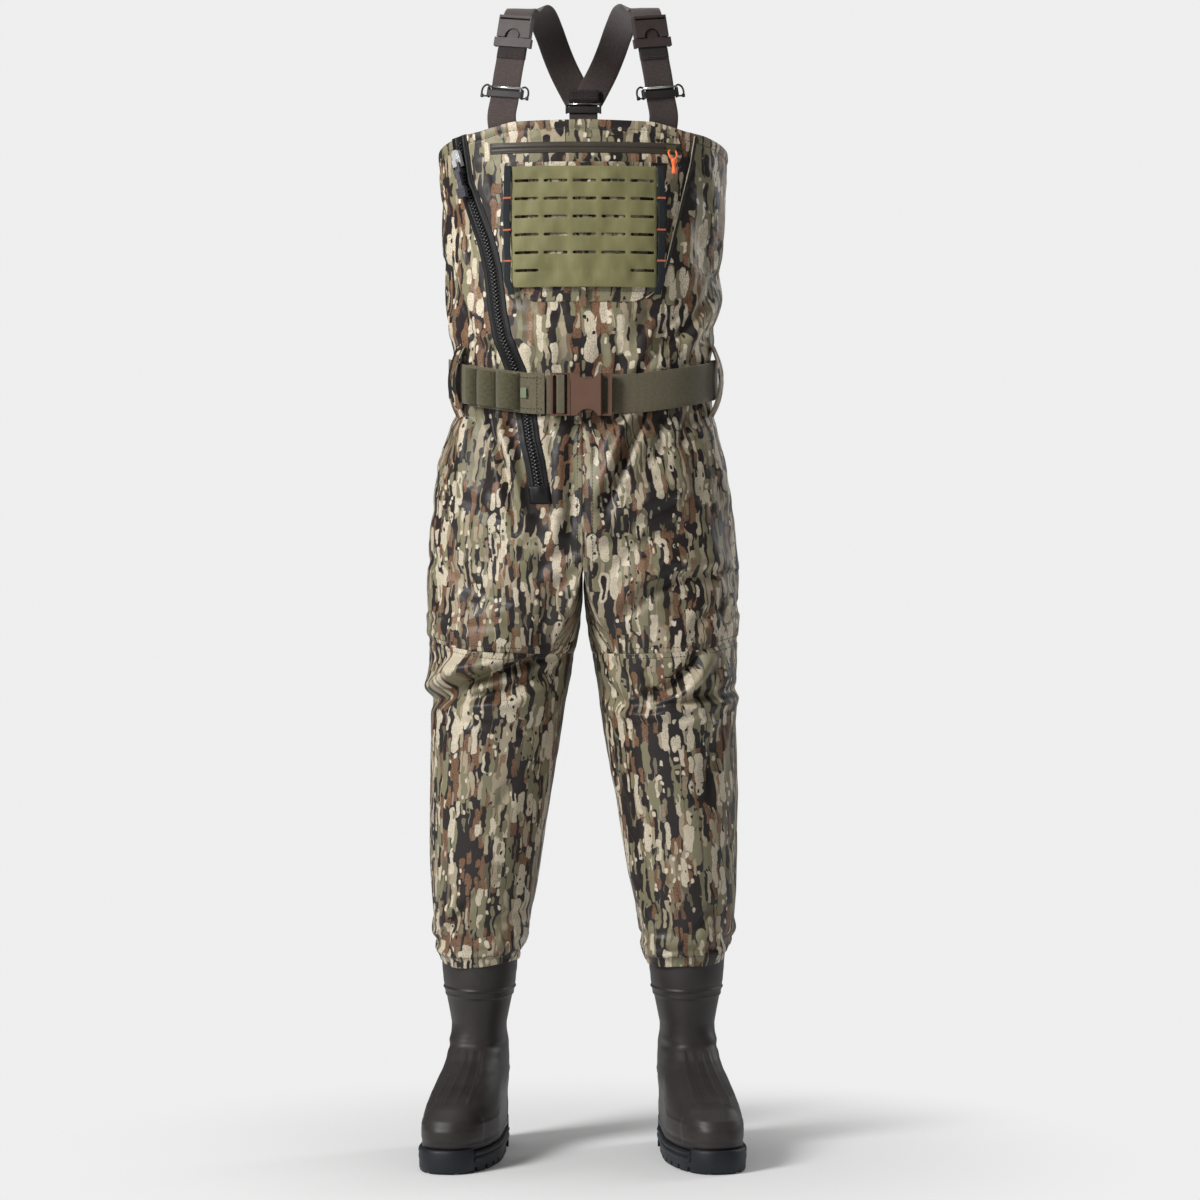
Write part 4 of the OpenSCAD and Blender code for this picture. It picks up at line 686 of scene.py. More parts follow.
# sample of the finished bib surface
def bib_row_path(off, t0=-180, t1=180):
    js = [j for j in range(NB_C) if t0 <= th[j] <= t1]
    P, Q = [], []
    for j in js:
        z = ztopg[0, j] - off; col = BIB[:, j]; 
        P.append([np.interp(z, col[:, 2], col[:, k]) for k in range(3)]); Q.append(NBb[-1, j])
    return np.array(P), np.array(Q)
paths = [bib_row_path(11), ]
for t0, dd in ((92, 3), (92, -3), (-104, 3), (-104, -3)):
    j = cl(t0 + dd * 0.33); paths.append((BIB[4:, j], NBb[4:, j]))
st = stitch_obj("bib_stitching", paths, M["thread"]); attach(st, "garment")

# ------------------------------------------------------------------ legs
NO, NI, R1, R2, R3 = 150, 64, 34, 84, 140
def knee_z(u): return 648 + 19 * np.exp(-((u - 0.5) / 0.22) ** 2)
def hem_z(psi, side):
    p = np.radians(psi)
    return 251 - 9 * np.cos(p) + 5 * np.sin(p) * (1 if side > 0 else -1) * 0.6 + 1.5 * np.cos(3 * p + (0.5 if side > 0 else 1.7))
uo = np.linspace(0, 1, NO); vi = np.linspace(0, 1, NI + 2)[1:-1]
uc = np.concatenate([uo, 1 + vi])                       # ring parameter
def ring_pts(z_cols, o):
    a = leg_outer(uo, z_cols[..., :NO], o); b = leg_inner(vi, z_cols[..., NO:], o)
    return np.concatenate([a, b], -2)
def ring_knee(): return np.concatenate([knee_z(uo), np.full(NI, 648.0) + 0 * vi])
def ring_psi(): return np.concatenate([-PI_IN + uo * (180 + 2 * PI_IN), 180 + PI_IN + vi * (180 - 2 * PI_IN)])
def upper_leg(side, sd):
    zk = ring_knee()
    r = np.linspace(0, 1, R1 + 1)[:, None]
    Zr = mix(zk[None], 760.0, r)
    Pr = ring_pts(Zr, 1.0)
    ztopc = zb(uo * 180) + 6
    q = np.linspace(0, 1, R2 + 1)[1:, None]
    Pu = torso(uo * 180, mix(760.0, ztopc[None], q), 1.0)
    Pr[..., 0] *= side; Pu[..., 0] *= side
    Po = np.concatenate([Pr[:, :NO], Pu], 0)
    Nr = grid_normals(Pr, True) * side; No_ = grid_normals(Po, False) * side
    No_[:R1 + 1] = np.where(np.arange(R1 + 1)[:, None, None] < R1 - 6, Nr[:, :NO], mix(Nr[:, :NO], No_[:R1 + 1], np.clip((np.arange(R1 + 1) - (R1 - 6)) / 6, 0, 1)[:, None, None]))
    up = Po[..., 2] > 758
    for c in (0, NO - 1): No_[:, c, 0] = np.where(up[:, c], 0, No_[:, c, 0])
    def D_of(P, N, U):
        d = crumple(P, 2.4, 1.1, 1.5, sd) + fold_disp(P, N, HIP_FOLDS, 1.9)
        d += gathers(P, U, zb(np.degrees(np.arctan2(P[..., 0], -P[..., 1]))), 3.0, 26, 38, 18, sd)
        # soft creases round the top of the leg
        cr = np.exp(-((P[..., 2] - (790 + 0.42 * np.abs(P[..., 0]))) / 42) ** 2)
        d += 2.6 * cr * pnoise((P[..., 2] - 0.5 * np.abs(P[..., 0])) / 19, P[..., 1] / 70, sd + P[..., 0] / 160)
        d += 1.5 * np.exp(-((P[..., 2] - 680) / 26) ** 2) * pnoise(P[..., 0] / 50, P[..., 1] / 50, P[..., 2] / 15 + sd)
        return d
    U = arc_u(Po, 0); Ro, Ri = Po.copy(), Pr[:, NO:].copy()
    Do = D_of(Po, No_, U)
    Dr = D_of(Pr, Nr, arc_u(Pr, 0))
    seam_w = smooth(np.abs(Po[..., 2] - zk[None, :NO]) / 9); seam_r = smooth(np.abs(Pr[..., 2] - zk[None]) / 9)
    ctr = smooth(np.abs(Po[..., 0]) / 9) * 0.75 + 0.25
    ctr = np.where(up, ctr, 1)
    Do = Do * seam_w * ctr - 1.2 * (1 - seam_w)
    Do -= np.where(up, 1.6 * np.exp(-(Po[..., 0] / 2.5) ** 2), 0)
    Dr = Dr * seam_r - 1.2 * (1 - seam_r)
    zipw = np.exp(-(np.maximum(np.abs(Po[..., 0] - zipx(Po[..., 2])) - 15, 0) / 8) ** 2) * (Po[..., 2] > 825) * (Po[..., 1] < 0)
    Do *= 1 - zipw
    under = np.abs(Po[..., 2] - zb(np.degrees(np.arctan2(Po[..., 0], -Po[..., 1])))) < 28
    Do = np.where(under, np.minimum(Do, 0.3), Do)
    Po = Po + No_ * Do[..., None]
    fade = smooth((760 - Pr[..., 2]) / 14)[..., None]
    Pi = (Pr + Nr * (Dr[..., None] * fade))[:, NO:]
    Pi[..., 0] = np.where(Pr[:, NO:, 2] > 759, 0, np.maximum(Pi[..., 0] * side, 0.25) * side)
    Po[..., 0] = np.where(up, np.maximum(Po[..., 0] * side, 0.0), np.maximum(Po[..., 0] * side, 0.25)) * side
    for c in (0, NO - 1): Po[:, c, 0] = np.where(up[:, c], 0.0, Po[:, c, 0])
    nr = R1 + 1 + R2
    F = grid_faces(nr, NO); base = nr * NO
    full = lambda i, k: (i * NO + NO - 1) if k == 0 else ((i * NO) if k == NI + 1 else base + i * NI + k - 1)
    for i in range(R1):
        for k in range(NI + 1):
            F.append((full(i, k), full(i, k + 1), full(i + 1, k + 1), full(i + 1, k)))
    if side < 0: F = [f[::-1] for f in F]
    V = np.vstack([Po.reshape(-1, 3), Pi.reshape(-1, 3)])
    w = np.zeros(len(V)); wo = w[:nr * NO].reshape(nr, NO); wi = w[nr * NO:].reshape(R1 + 1, NI)
    wo[:] = np.maximum(wo, smooth((Po[..., 2] - (zb(uo * 180)[None] - 30)) / 10)); wo[:] = np.maximum(wo, 1 - smooth((Po[..., 2] - zk[None, :NO]) / 8)); wi[:] = np.maximum(wi, 1 - smooth((Pi[..., 2] - zk[None, NO:]) / 8))
    wo[:] = np.maximum(wo, np.where(up, np.exp(-(Po[..., 0] / 7) ** 2), 0)); wo[:] = np.maximum(wo, zipw); wi[:] = np.maximum(wi, smooth((Pi[..., 2] - 745) / 12))
    wo[0] = 1; wi[0] = 1
    wq = np.maximum(wo, 1 - smooth((Po[..., 2] - zk[None, :NO]) / 46))
    wq = np.maximum(wq, smooth((34 - np.abs(np.minimum(np.arange(NO), NO - 1 - np.arange(NO)) * 3.4)) / 22)[None] * np.where(up, 0.9, 1.0))
    d = relax_grid(Po, wq, False); V[:nr * NO] += d.reshape(-1, 3)
    on = V[:, 0] * side; lim = np.where(V[:, 2] > 757, 0.0, 0.2)
    V[:, 0] = np.where(on < lim, lim * side, V[:, 0])
    ob = new_obj("leg_upper_" + ("left" if side > 0 else "right"), V * MM, F)
    uu = np.concatenate([arc_u(Ro, 24).ravel(), (arc_u(Ri, 0) + arc_u(Ro[:R1 + 1], 24)[:, -1:]).ravel()])
    vv = np.concatenate([Ro[..., 2].ravel(), Ri[..., 2].ravel()])
    set_pat(ob, np.stack([uu * side + sd * 0.31, vv * MM + sd * 0.17, np.full(len(V), 10 + sd)], -1))
    ob.data.materials.append(M["camo"]); ob.data.materials.append(M["lining"])
    Pg = V[:nr * NO].reshape(nr, NO, 3)
    Ng = grid_normals(Pg, False) * side
    # twin rows of stitching down the front seam, one row above the knee seam
    sp = []
    for c in ((2, NO - 3) if side > 0 else (1, NO - 2)):
        sp.append((Pg[R1 + 1:-8, c], Ng[R1 + 1:-8, c]))
    kr = Pg[2, 8:-8]; sp.append((kr, Ng[2, 8:-8]))
    ss = stitch_obj("st", sp, M["thread_dark"])
    subsurf(ob, 1); apply_mods(ob); 
    solid(ob, 2.2); ob.modifiers["solidify"].material_offset = 1; apply_mods(ob)
    set_pat(ss, np.zeros((len(ss.data.vertices), 3)))
    ob = join([ob, ss], ob.name)
    return ob
HIP_D = np.array([0.75, 0, -0.66])
legs = {}
for side, nm, sd in ((1, "left", 1.0), (-1, "right", 4.0)):
    ob = upper_leg(side, sd); legs["u" + nm] = ob
    d = Vector((HIP_D[0] * side, 0, HIP_D[2])); d.normalize(); k = math.hypot(HIP_D[0], HIP_D[2])
    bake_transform(ob)
    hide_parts("hip_front_" + nm, "seat_panel_" + nm, "crotch_panel_" + nm, "thigh_panel_" + nm)
def lower_leg(side, sd):
    zk = ring_knee(); psi = ring_psi(); hz = hem_z(psi, side)
    r = np.linspace(0, 1, R3 + 1)[:, None]
    Z = mix(hz[None], zk[None], r)
    P = ring_pts(Z, 1.0)
    # the leg blouses over the boot and turns in at the hem
    PS = np.broadcast_to(psi, Z.shape)
    P[..., 0] *= side
    N = grid_normals(P, True) * side
    h = Z - hz[None]
    D = crumple(P, 1.8, 0.9, 1.7, sd + 7) + fold_disp(P, N, KNEE_FOLDS, 1.9) + fold_disp(P, N, HEM_FOLDS)
    D += 2.6 * np.exp(-((Z - 612) / 34) ** 2) * pnoise(P[..., 0] / 60, P[..., 1] / 60, Z / 17 + sd)
    D += 1.2 * np.exp(-((Z - 520) / 60) ** 2) * pnoise(P[..., 0] / 70, P[..., 1] / 70 + Z / 60, Z / 24 + sd)
    D += 3.0 * np.exp(-((h - 30) / 20) ** 2) * (0.5 + pnoise(PS / 26, Z / 40, sd)) + 1.8 * np.exp(-(h / 22) ** 2) * pnoise(PS / 15, Z / 60, sd + 3)
    D += 1.6 * np.exp(-((h - 26) / 34) ** 2) * pnoise(P[..., 0] / 40, P[..., 1] / 40, Z / 13 + sd)
    seam = smooth((zk[None] - Z) / 9)
    D = D * seam - 1.2 * (1 - seam)
    D -= 5.5 * (1 - smooth(h / 20)) + 0.8 * np.exp(-((h - 10) / 1.8) ** 2)
    P0 = P.copy()
    P = P + N * D[..., None]
    P[..., 0] = np.maximum(P[..., 0] * side, 0.3) * side
    F = grid_faces(R3 + 1, NO + NI, True)
    if side < 0: F = [f[::-1] for f in F]
    V = P.reshape(-1, 3)
    w = np.zeros(P.shape[:2]); w = np.maximum(w, 1 - smooth((zk[None] - Z) / 8)); w = np.maximum(w, 1 - smooth(h / 8)); w[-1] = 1; w[0] = 1
    w = np.maximum(w, 1 - smooth((zk[None] - Z) / 40))
    P = P + relax_grid(P, w, True); P[..., 0] = np.maximum(P[..., 0] * side, 0.3) * side; V = P.reshape(-1, 3)
    # each leg is one panel, seamed down the inside
    nc = NO + NI; s0, s1 = NO + NI // 2, NO // 2
    ob = patch_cols("leg_lower_" + ("left" if side > 0 else "right"), P, P0, [s0], M["camo"], [(sd * 0.41, sd * 0.23, 20 + sd)], 24)
    if side < 0:
        ob.data.flip_normals()
    ob.data.materials.append(M["lining"])
    Ng = grid_normals(P, True) * side
    row = lambda i: (P[i, list(range(nc)) + [0]], Ng[i, list(range(nc)) + [0]])
    kz = (P[-3, 6:NO - 6], Ng[-3, 6:NO - 6])
    ss = stitch_obj("st", [row(5), kz], M["thread_dark"])
    subsurf(ob, 1); apply_mods(ob); solid(ob, 2.0); ob.modifiers["solidify"].material_offset = 1; apply_mods(ob)
    set_pat(ss, np.zeros((len(ss.data.vertices), 3)))
    return join([ob, ss], ob.name)
for side, nm, sd in ((1, "left", 2.0), (-1, "right", 5.0)):
    ob = lower_leg(side, sd); legs["l" + nm] = ob
    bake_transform(ob)
    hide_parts("knee_panel_" + nm, "shin_panel_" + nm)

# ------------------------------------------------------------------ ribbons
def unit(v): v = np.asarray(v, float); return v / np.maximum(np.linalg.norm(v, axis=-1, keepdims=True), 1e-9)
def ribbon(name, C, W, hw, t, mat, nx=9, seed=0.0, ripple=0.0, cup=0.0, hws=None):
    """strap with rounded edges: centres C, unit directions across W; N = along x across faces out"""
    C = np.asarray(C, float); W = unit(np.broadcast_to(np.asarray(W, float), C.shape)); T = unit(np.gradient(C, axis=0))
    W = unit(W - (W * T).sum(1)[:, None] * T); N = unit(np.cross(W, T))
    s = np.concatenate([[0], np.cumsum(np.linalg.norm(np.diff(C, axis=0), axis=1))])
    hwv = np.full(len(C), hw) if hws is None else np.asarray(hws, float)
    sec = []
    for k in range(nx): sec.append((-1 + 2 * k / (nx - 1), 1.0))
    prof = [(x * (1 - 0.5 * t / hw), 0.5 * t) for x, _ in sec] + [(1 - 0.12 * t / hw, 0.28 * t), (1, 0), (1 - 0.12 * t / hw, -0.28 * t)] + [(x * (1 - 0.5 * t / hw), -0.5 * t) for x, _ in sec[::-1]] + [(-1 + 0.12 * t / hw, -0.28 * t), (-1, 0), (-1 + 0.12 * t / hw, 0.28 * t)]
    m = len(prof); V = []; A = []
    for i in range(len(C)):
        for x, y in prof:
            rp = ripple * float(pnoise(s[i] / 38.0 + seed, x * 0.9, seed * 1.3)) if ripple else 0.0
            V.append(C[i] + W[i] * x * hwv[i] + N[i] * (y + rp + cup * (x * x - 0.4))); A.append((x * hwv[i] * MM, s[i] * MM + seed * 0.1, 0))
    F = []
    for i in range(len(C) - 1):
        for k in range(m):
            F.append((i * m + k, i * m + (k + 1) % m, (i + 1) * m + (k + 1) % m, (i + 1) * m + k))
    F.append(tuple(range(m))[::-1]); F.append(tuple((len(C) - 1) * m + k for k in range(m)))
    ob = new_obj(name, np.array(V) * MM, F); set_pat(ob, np.array(A)); ob.data.materials.append(mat)
    import bmesh
    bm = bmesh.new(); bm.from_mesh(ob.data); bmesh.ops.recalc_face_normals(bm, faces=bm.faces); bm.to_mesh(ob.data); bm.free()
    ob.data.polygons.foreach_set("use_smooth", [True] * len(ob.data.polygons))
    mod(ob, 'EDGE_SPLIT', split_angle=math.radians(75))
    return ob
def resample(P, n):
    P = np.asarray(P, float); s = np.concatenate([[0], np.cumsum(np.linalg.norm(np.diff(P, axis=0), axis=1))])
    q = np.linspace(0, s[-1], n); return np.stack([np.interp(q, s, P[:, k]) for k in range(P.shape[1])], 1)
def dashes(C, W, N, x, t, r=0.38, L=2.6, gap=1.3, lift=0.1):
    return (np.asarray(C) + np.asarray(W) * x + np.asarray(N) * (t / 2), np.asarray(N))
def ride(ob, body, slot=None, *rep):
    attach(ob, body)
    if rep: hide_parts(*rep)
    return ob
def cad(node, mat, bev=0.6, seg=3, ang=35):
    ob = NODE[node]
    ob.data.materials.clear(); ob.data.materials.append(mat)
    if bev:
        m = ob.modifiers.new("bevel", 'BEVEL'); m.width = bev * MM; m.segments = seg; m.limit_method = 'ANGLE'; m.angle_limit = math.radians(ang); m.harden_normals = True
    ob.data.polygons.foreach_set("use_smooth", [True] * len(ob.data.polygons))
    return ob
def surf_n(x, z, o=0.0, e=0.6):
    """outward normal of the bib's analytic surface at (x, z)"""
    p = front_at(x, z, o); a = front_at(x + e, z, o) - front_at(x - e, z, o); b = front_at(x, z + e, o) - front_at(x, z - e, o)
    return unit(np.cross(a, b))

# ------------------------------------------------------------------ main zip
zz = np.linspace(852, 1309, 170)
zc = front_at(zipx(zz), zz, 1.7); zW = unit(front_at(zipx(zz) + 1, zz, 1.7) - front_at(zipx(zz) - 1, zz, 1.7))
zT = unit(np.gradient(zc, axis=0)); zW = unit(zW - (zW * zT).sum(1)[:, None] * zT); zN = unit(np.cross(zW, zT))
zs_ = np.concatenate([[0], np.cumsum(np.linalg.norm(np.diff(zc, axis=0), axis=1))])
tv, tf = [], []
prof = [(-13.4, -0.8), (-13.2, 0.2), (-12.6, 0.55), (-9, 0.6), (-7.6, 0.75), (-6.9, 1.25), (-6.0, 1.3), (-5.4, 0.7), (-4.2, 0.6), (-1.2, 0.5), (0, 0.3), (1.2, 0.5), (4.2, 0.6), (5.4, 0.7), (6.0, 1.3), (6.9, 1.25), (7.6, 0.75), (9, 0.6), (12.6, 0.55), (13.2, 0.2), (13.4, -0.8)]
G = np.stack([zc + zW * x + zN * (y - 0.2) for x, y in prof], 1)
tape = grid_obj("zip_tape", G, mat=M["tape"]); ride(tape, "garment", "zip_tape", "main_zip_tape")
import bmesh
def tooth_block():
    bm = bmesh.new(); bmesh.ops.create_cube(bm, size=1)
    for v in bm.verts: v.co = Vector((v.co.x * 5.4 + 1.7, v.co.y * 2.7, v.co.z * 2.2))
    for v in bm.verts:
        if v.co.x < 0: v.co.y *= 1.15
        else: v.co.y *= 0.72
    bmesh.ops.bevel(bm, geom=bm.edges[:], offset=0.5, segments=1, profile=0.6, affect='EDGES')
    me = bpy.data.meshes.new("t"); bm.to_mesh(me); bm.free()
    V = np.zeros(len(me.vertices) * 3); me.vertices.foreach_get("co", V); F = [tuple(p.vertices) for p in me.polygons]; bpy.data.meshes.remove(me)
    return V.reshape(-1, 3), F
TVb, TFb = tooth_block(); V, F = [], []
q = 6.0; k = 0
while q < zs_[-1] - 8:
    at = lambda A: np.array([np.interp(q, zs_, A[:, i]) for i in range(3)])
    c, w, t, n = at(zc), unit(at(zW)), unit(at(zT)), unit(at(zN)); sg = 1 if k % 2 else -1
    b = len(V); V += [tuple(c + w * (v[0] * sg) + t * v[1] + n * (v[2] + 1.45)) for v in TVb]
    F += [tuple(b + i for i in (f if sg > 0 else f[::-1])) for f in TFb]
    q += 2.35; k += 1
teeth = new_obj("zip_teeth", np.array(V) * MM, F); teeth.data.materials.append(M["teeth"]); ride(teeth, "garment", "zip_teeth", "main_zip_teeth")
# square patch over the bottom end of the zip
gz = np.linspace(838, 863, 12); gx = np.linspace(-14.5, 14.5, 15)
GX, GZ = np.meshgrid(gx, gz); rim = np.minimum(smooth((14.5 - np.abs(GX)) / 3.0), smooth(np.minimum(GZ - 838, 863 - GZ) / 3.0 + 0.0))
gp = front_at(zipx(GZ) + GX, GZ, 0.8) + surf_n(zipx(GZ) + GX, GZ) * (3.6 * rim + 1.2 * np.exp(-(GX / 5) ** 2) * smooth((GZ - 846) / 8))[..., None]
ga = grid_obj("zip_end_patch", gp, mat=M["tape"]); subsurf(ga, 1); ride(ga, "garment", "zip_garage", "main_zip_garage")
cad("main_zip_slider", M["chrome"], 1.1, 4); cad("main_zip_pull", M["pull"], 0.9, 3)
for s in (tape,): mod(s, 'SUBSURF', levels=1, render_levels=1)
# little channels moulded across the pull's end block
ms_a = front_at(zipx(1277.0), 1277.0, 7.9); ms_b = front_at(zipx(1062.0), 1062.0, 7.9); ms_d = unit(ms_b - ms_a)
ms_n = np.array([0.663347, 0.743684, 0.0830955]); ms_x = np.array([0.712702, -0.66172, 0.232772])
MS = frame_m(ms_a, ms_x, ms_n, -ms_d)
ribs = [box_bev("r", (0, -9.3, -37.4 - 2.6 * i), (12.6, 1.2, 1.2), 0.35, MS, M["pull"], 2) for i in range(4)] + [box_bev("r", (0, -8.0, -21.5), (4.0, 1.0, 11), 0.4, MS, M["pull"], 2)]
ride(join(ribs, "zip_pull_ribs"), "main_zip_pull", "pull_rubber")
crown = [box_bev("c", (0, -3.6, 5.4), (9.0, 1.4, 6.6), 0.6, MS, M["chrome"], 3)]
ride(join(crown, "zip_slider_crown"), "main_zip_slider", "slider_metal")

# ------------------------------------------------------------------ chest pocket
PC = 2.0
PL = tab([[1094, 62], [1097, 70], [1104, 78], [1112, 84], [1150, 92], [1271, 108]]); PR = tab([[1094, 60], [1097, 70], [1104, 80], [1114, 90], [1150, 101], [1271, 130]])
u = np.linspace(0, 1, 84); v = np.concatenate([np.linspace(0, 0.06, 6)[:-1], np.linspace(0.06, 0.94, 46), np.linspace(0.94, 1, 6)[1:]])
U_, V_ = np.meshgrid(u, v); PZ = mix(1094.0, 1271.0, V_); PX = PC + mix(-PL(PZ), PR(PZ), U_)
edge = np.minimum(np.minimum(U_, 1 - U_) * 190, np.minimum(V_ * 177, 400))
O = 0.2 + 2.0 * smooth(edge / 2.2) + 3.4 * smooth((edge - 8) / 46)
nz = 1.3 * pnoise(PX / 34, PZ / 40, 3.0) + 0.6 * pnoise(PX / 15, PZ / 18, 8.0)
O += nz * smooth((edge - 5) / 14) - 0.9 * np.exp(-((edge - 5.2) / 1.1) ** 2)
O += 2.2 * np.exp(-((PX - 112 + (1271 - PZ) * 0.17) / 9) ** 2) * smooth((1266 - PZ) / 20) * smooth((PZ - 1120) / 30)
base = front_at(PX, PZ, 1.0); Nrm = surf_n(PX, PZ)
POC = base + Nrm * O[..., None]
uu = arc_u(POC, 42)
pouch = grid_obj("chest_pouch", POC, np.stack([uu + 0.77, PZ * MM + 0.41, np.full(uu.shape, 30.0)], -1), mat=M["camo_bib"])
pouch.data.materials.append(M["lining"]); solid(pouch, 1.4); pouch.modifiers["solidify"].material_offset = 1; subsurf(pouch, 1)
pp = []
ring = [(U_[i, 3], V_[i, 3]) for i in range(3, len(v) - 1)]
pp.append((POC[4:, 3], Nrm[4:, 3])); pp.append((POC[4:, -4], Nrm[4:, -4])); pp.append((POC[6, 3:-3], Nrm[6, 3:-3])); pp.append((POC[-5, 3:-3], Nrm[-5, 3:-3]))
apply_mods(pouch); ss = stitch_obj("st", pp, M["thread"]); set_pat(ss, np.zeros((len(ss.data.vertices), 3)))
pouch = join([pouch, ss], "chest_pouch"); ride(pouch, "garment", "camo_shell", "chest_pocket")
# pale piping down the slanted edge of the hand opening, and a dark strip beside it painted as the shadow in the gap
zr = np.linspace(1100, 1308, 70); xr = PC + np.where(zr < 1271, PR(np.minimum(zr, 1271)), 130 + (zr - 1271) * 0.16) + 3.2
pp_ = front_at(xr, zr, 2.0)
pipe = tube_obj("pocket_piping", pp_, 0.75, M["pipe"], 8); ride(pipe, "garment", "camo_shell")
# painted shadow: a thin dark strip on the cloth where the gap beside the piping is in shade
gap = ribbon("pocket_gap", front_at(xr + 3.0, zr, 1.35), unit(front_at(xr + 4, zr, 1.3) - front_at(xr + 2, zr, 1.3)), 1.9, 0.5, M["thread_dark"], 3); ride(gap, "garment", "camo_shell")
# small tab under the panel
tz = np.linspace(1088, 1112, 9); tb = ribbon("pocket_tab", front_at(np.full(9, 0.5), tz, 9.0 - 4.2 * smooth((1106 - tz) / 16)), (1, 0, 0), 5.0, 1.6, M["camo_bib"], 5, 3.0); ride(tb, "garment", "camo_shell")

# ------------------------------------------------------------------ slotted panel
cx = [-89.0]
for i in range(5):
    a0, a1 = -89 + 178 * (i + 0.10) / 5, -89 + 178 * (i + 0.92) / 5
    cx += list(np.linspace(cx[-1], a0, 3)[1:]) + [a0 + 0.4, a0 + 1.5] + list(np.linspace(a0 + 1.5, a1 - 1.5, 8)[1:]) + [a1 - 0.4, a1]
cx += [87.0, 89.0]; cx = np.array(cx)
czl = [1113.0, 1115.0]; slots = []
for k in range(6):
    z0, z1 = 1134 + 22.6 * k - 1.9, 1134 + 22.6 * k + 1.9
    czl += list(np.linspace(czl[-1], z0, 6)[1:]); slots.append(len(czl) - 1); czl += [1134 + 22.6 * k, z1]
czl += list(np.linspace(czl[-1], 1265, 6)[1:]); czl = np.array(czl)
CX, CZ = np.meshgrid(cx, czl)
mask = np.ones((len(czl) - 1, len(cx) - 1), bool)
for k, si in enumerate(slots):
    for i in range(5):
        if k == 0 and 0 < i < 4: continue
        a0, a1 = -89 + 178 * (i + 0.10) / 5, -89 + 178 * (i + 0.92) / 5
        for j in range(len(cx) - 1):
            if cx[j] >= a0 - 0.01 and cx[j + 1] <= a1 + 0.01: mask[si:si + 2, j] = False
# slot ends are rounded and the strip above each slot stands forward a little
Zs = CZ.copy()
for k, si in enumerate(slots):
    for i in range(5):
        a0, a1 = -89 + 178 * (i + 0.10) / 5, -89 + 178 * (i + 0.92) / 5
        for j in range(len(cx)):
            if a0 - 0.01 <= cx[j] <= a1 + 0.01:
                e = math.sqrt(max(0.0, 1 - max(0.0, 1 - min(cx[j] - a0, a1 - cx[j]) / 1.5) ** 2)); e = max(e, 0.45)
                Zs[si, j] = czl[si + 1] - 1.75 * e - 0.08 * math.sin(math.pi * (cx[j] - a0) / (a1 - a0)); Zs[si + 2, j] = czl[si + 1] + 1.75 * e + 0.14 * math.sin(math.pi * (cx[j] - a0) / (a1 - a0))
edge = np.minimum(np.minimum(CX + 89, 89 - CX), np.minimum(CZ - 1113, 1265 - CZ))
wv = 3.0 * pnoise((CX - 0.42 * CZ) / 24, CZ / 120, 2.0) + 1.5 * pnoise((CX + 0.30 * CZ) / 15, CZ / 80, 6.0)
rows_ = ((CZ - 1134) / 22.6) % 1.0
O = 10.6 + wv * smooth(edge / 14) + 0.7 * np.sin(np.pi * rows_) * smooth(edge / 8) - 0.5 * (1 - smooth(edge / 3))
mp = front_at(PC + CX, Zs, 0.0) + surf_n(PC + CX, Zs) * O[..., None]
molle = grid_obj("slotted_panel", mp, np.stack([CX * MM, CZ * MM, 0 * CX], -1), mask=mask, mat=M["olive"])
solid(molle, 1.3); mod(molle, 'BEVEL', width=0.25 * MM, segments=2, limit_method='ANGLE', angle_limit=math.radians(50))
ride(molle, "garment", "olive_laminate", "molle_panel")
# webbing down both sides, held by bar tacks and standing off between them
sw = []
tack = np.array([1111.0, 1147, 1186, 1226, 1262])
wz = np.linspace(1104, 1266, 90)
for sx in (-1, 1):
    ph = np.interp(wz, tack, np.arange(5)) % 1.0
    off = 11.2 + 1.9 * np.sin(np.pi * ph) ** 0.8
    xx = PC + sx * (93.9 - 5.0 * smooth((1125 - wz) / 20) + 0.5 * np.sin(wz / 17))
    C = front_at(xx, wz, 0.0) + surf_n(xx, wz) * off[:, None]
    sw.append(ribbon("web", C, unit(front_at(xx + 1, wz, 0) - front_at(xx - 1, wz, 0)), 4.7, 1.5, M["black_web"], 5, 1.0 + sx))
sweb = join(sw, "side_webbing"); ride(sweb, "garment", "black_webbing", "pocket_side_webbing")
bt = []
for sx in (-1, 1):
    for z in (1147, 1186, 1226):
        xa = PC + sx * 93.9; n = surf_n(np.array(xa), np.array(float(z)))
        for k in range(9):
            x = xa - 4.6 + 9.2 * k / 8; 
            bt.append(tube_obj("b", [front_at(x - 0.5, z - 1.1, 0) + n * 12.2, front_at(x, z, 0) + n * 12.7, front_at(x + 0.5, z + 1.1, 0) + n * 12.2], 0.62, M["orange"], 6))
ride(join(bt, "bar_tacks"), "garment", "orange_thread", "webbing_bartacks")

# ------------------------------------------------------------------ chest pocket zip
px_ = np.linspace(-117, 124, 130); pxe = smooth(np.minimum(px_ + 117, 124 - px_) / 1.5 + 0.2)
prf = [(0.3, 0.9), (0.7, 1.9), (1.6, 2.3), (3.2, 2.35), (4.6, 1.95), (5.1, 1.2), (5.6, 1.5), (6.6, 1.2), (7.4, -0.6)]
prf = [(-a, h) for a, h in prf[::-1]] + prf
lips = [grid_obj("lip", np.stack([front_at(px_, np.full(px_.shape, 1289.5 + a), 1.0) + surf_n(px_, np.full(px_.shape, 1289.5 + a)) * (h * pxe)[:, None] for a, h in prf], 0), mat=M["tape_brown"])]
lp = join(lips, "pocket_zip_lips"); subsurf(lp, 1); ride(lp, "garment", "pocket_zip_tape", "pocket_zip_tape")
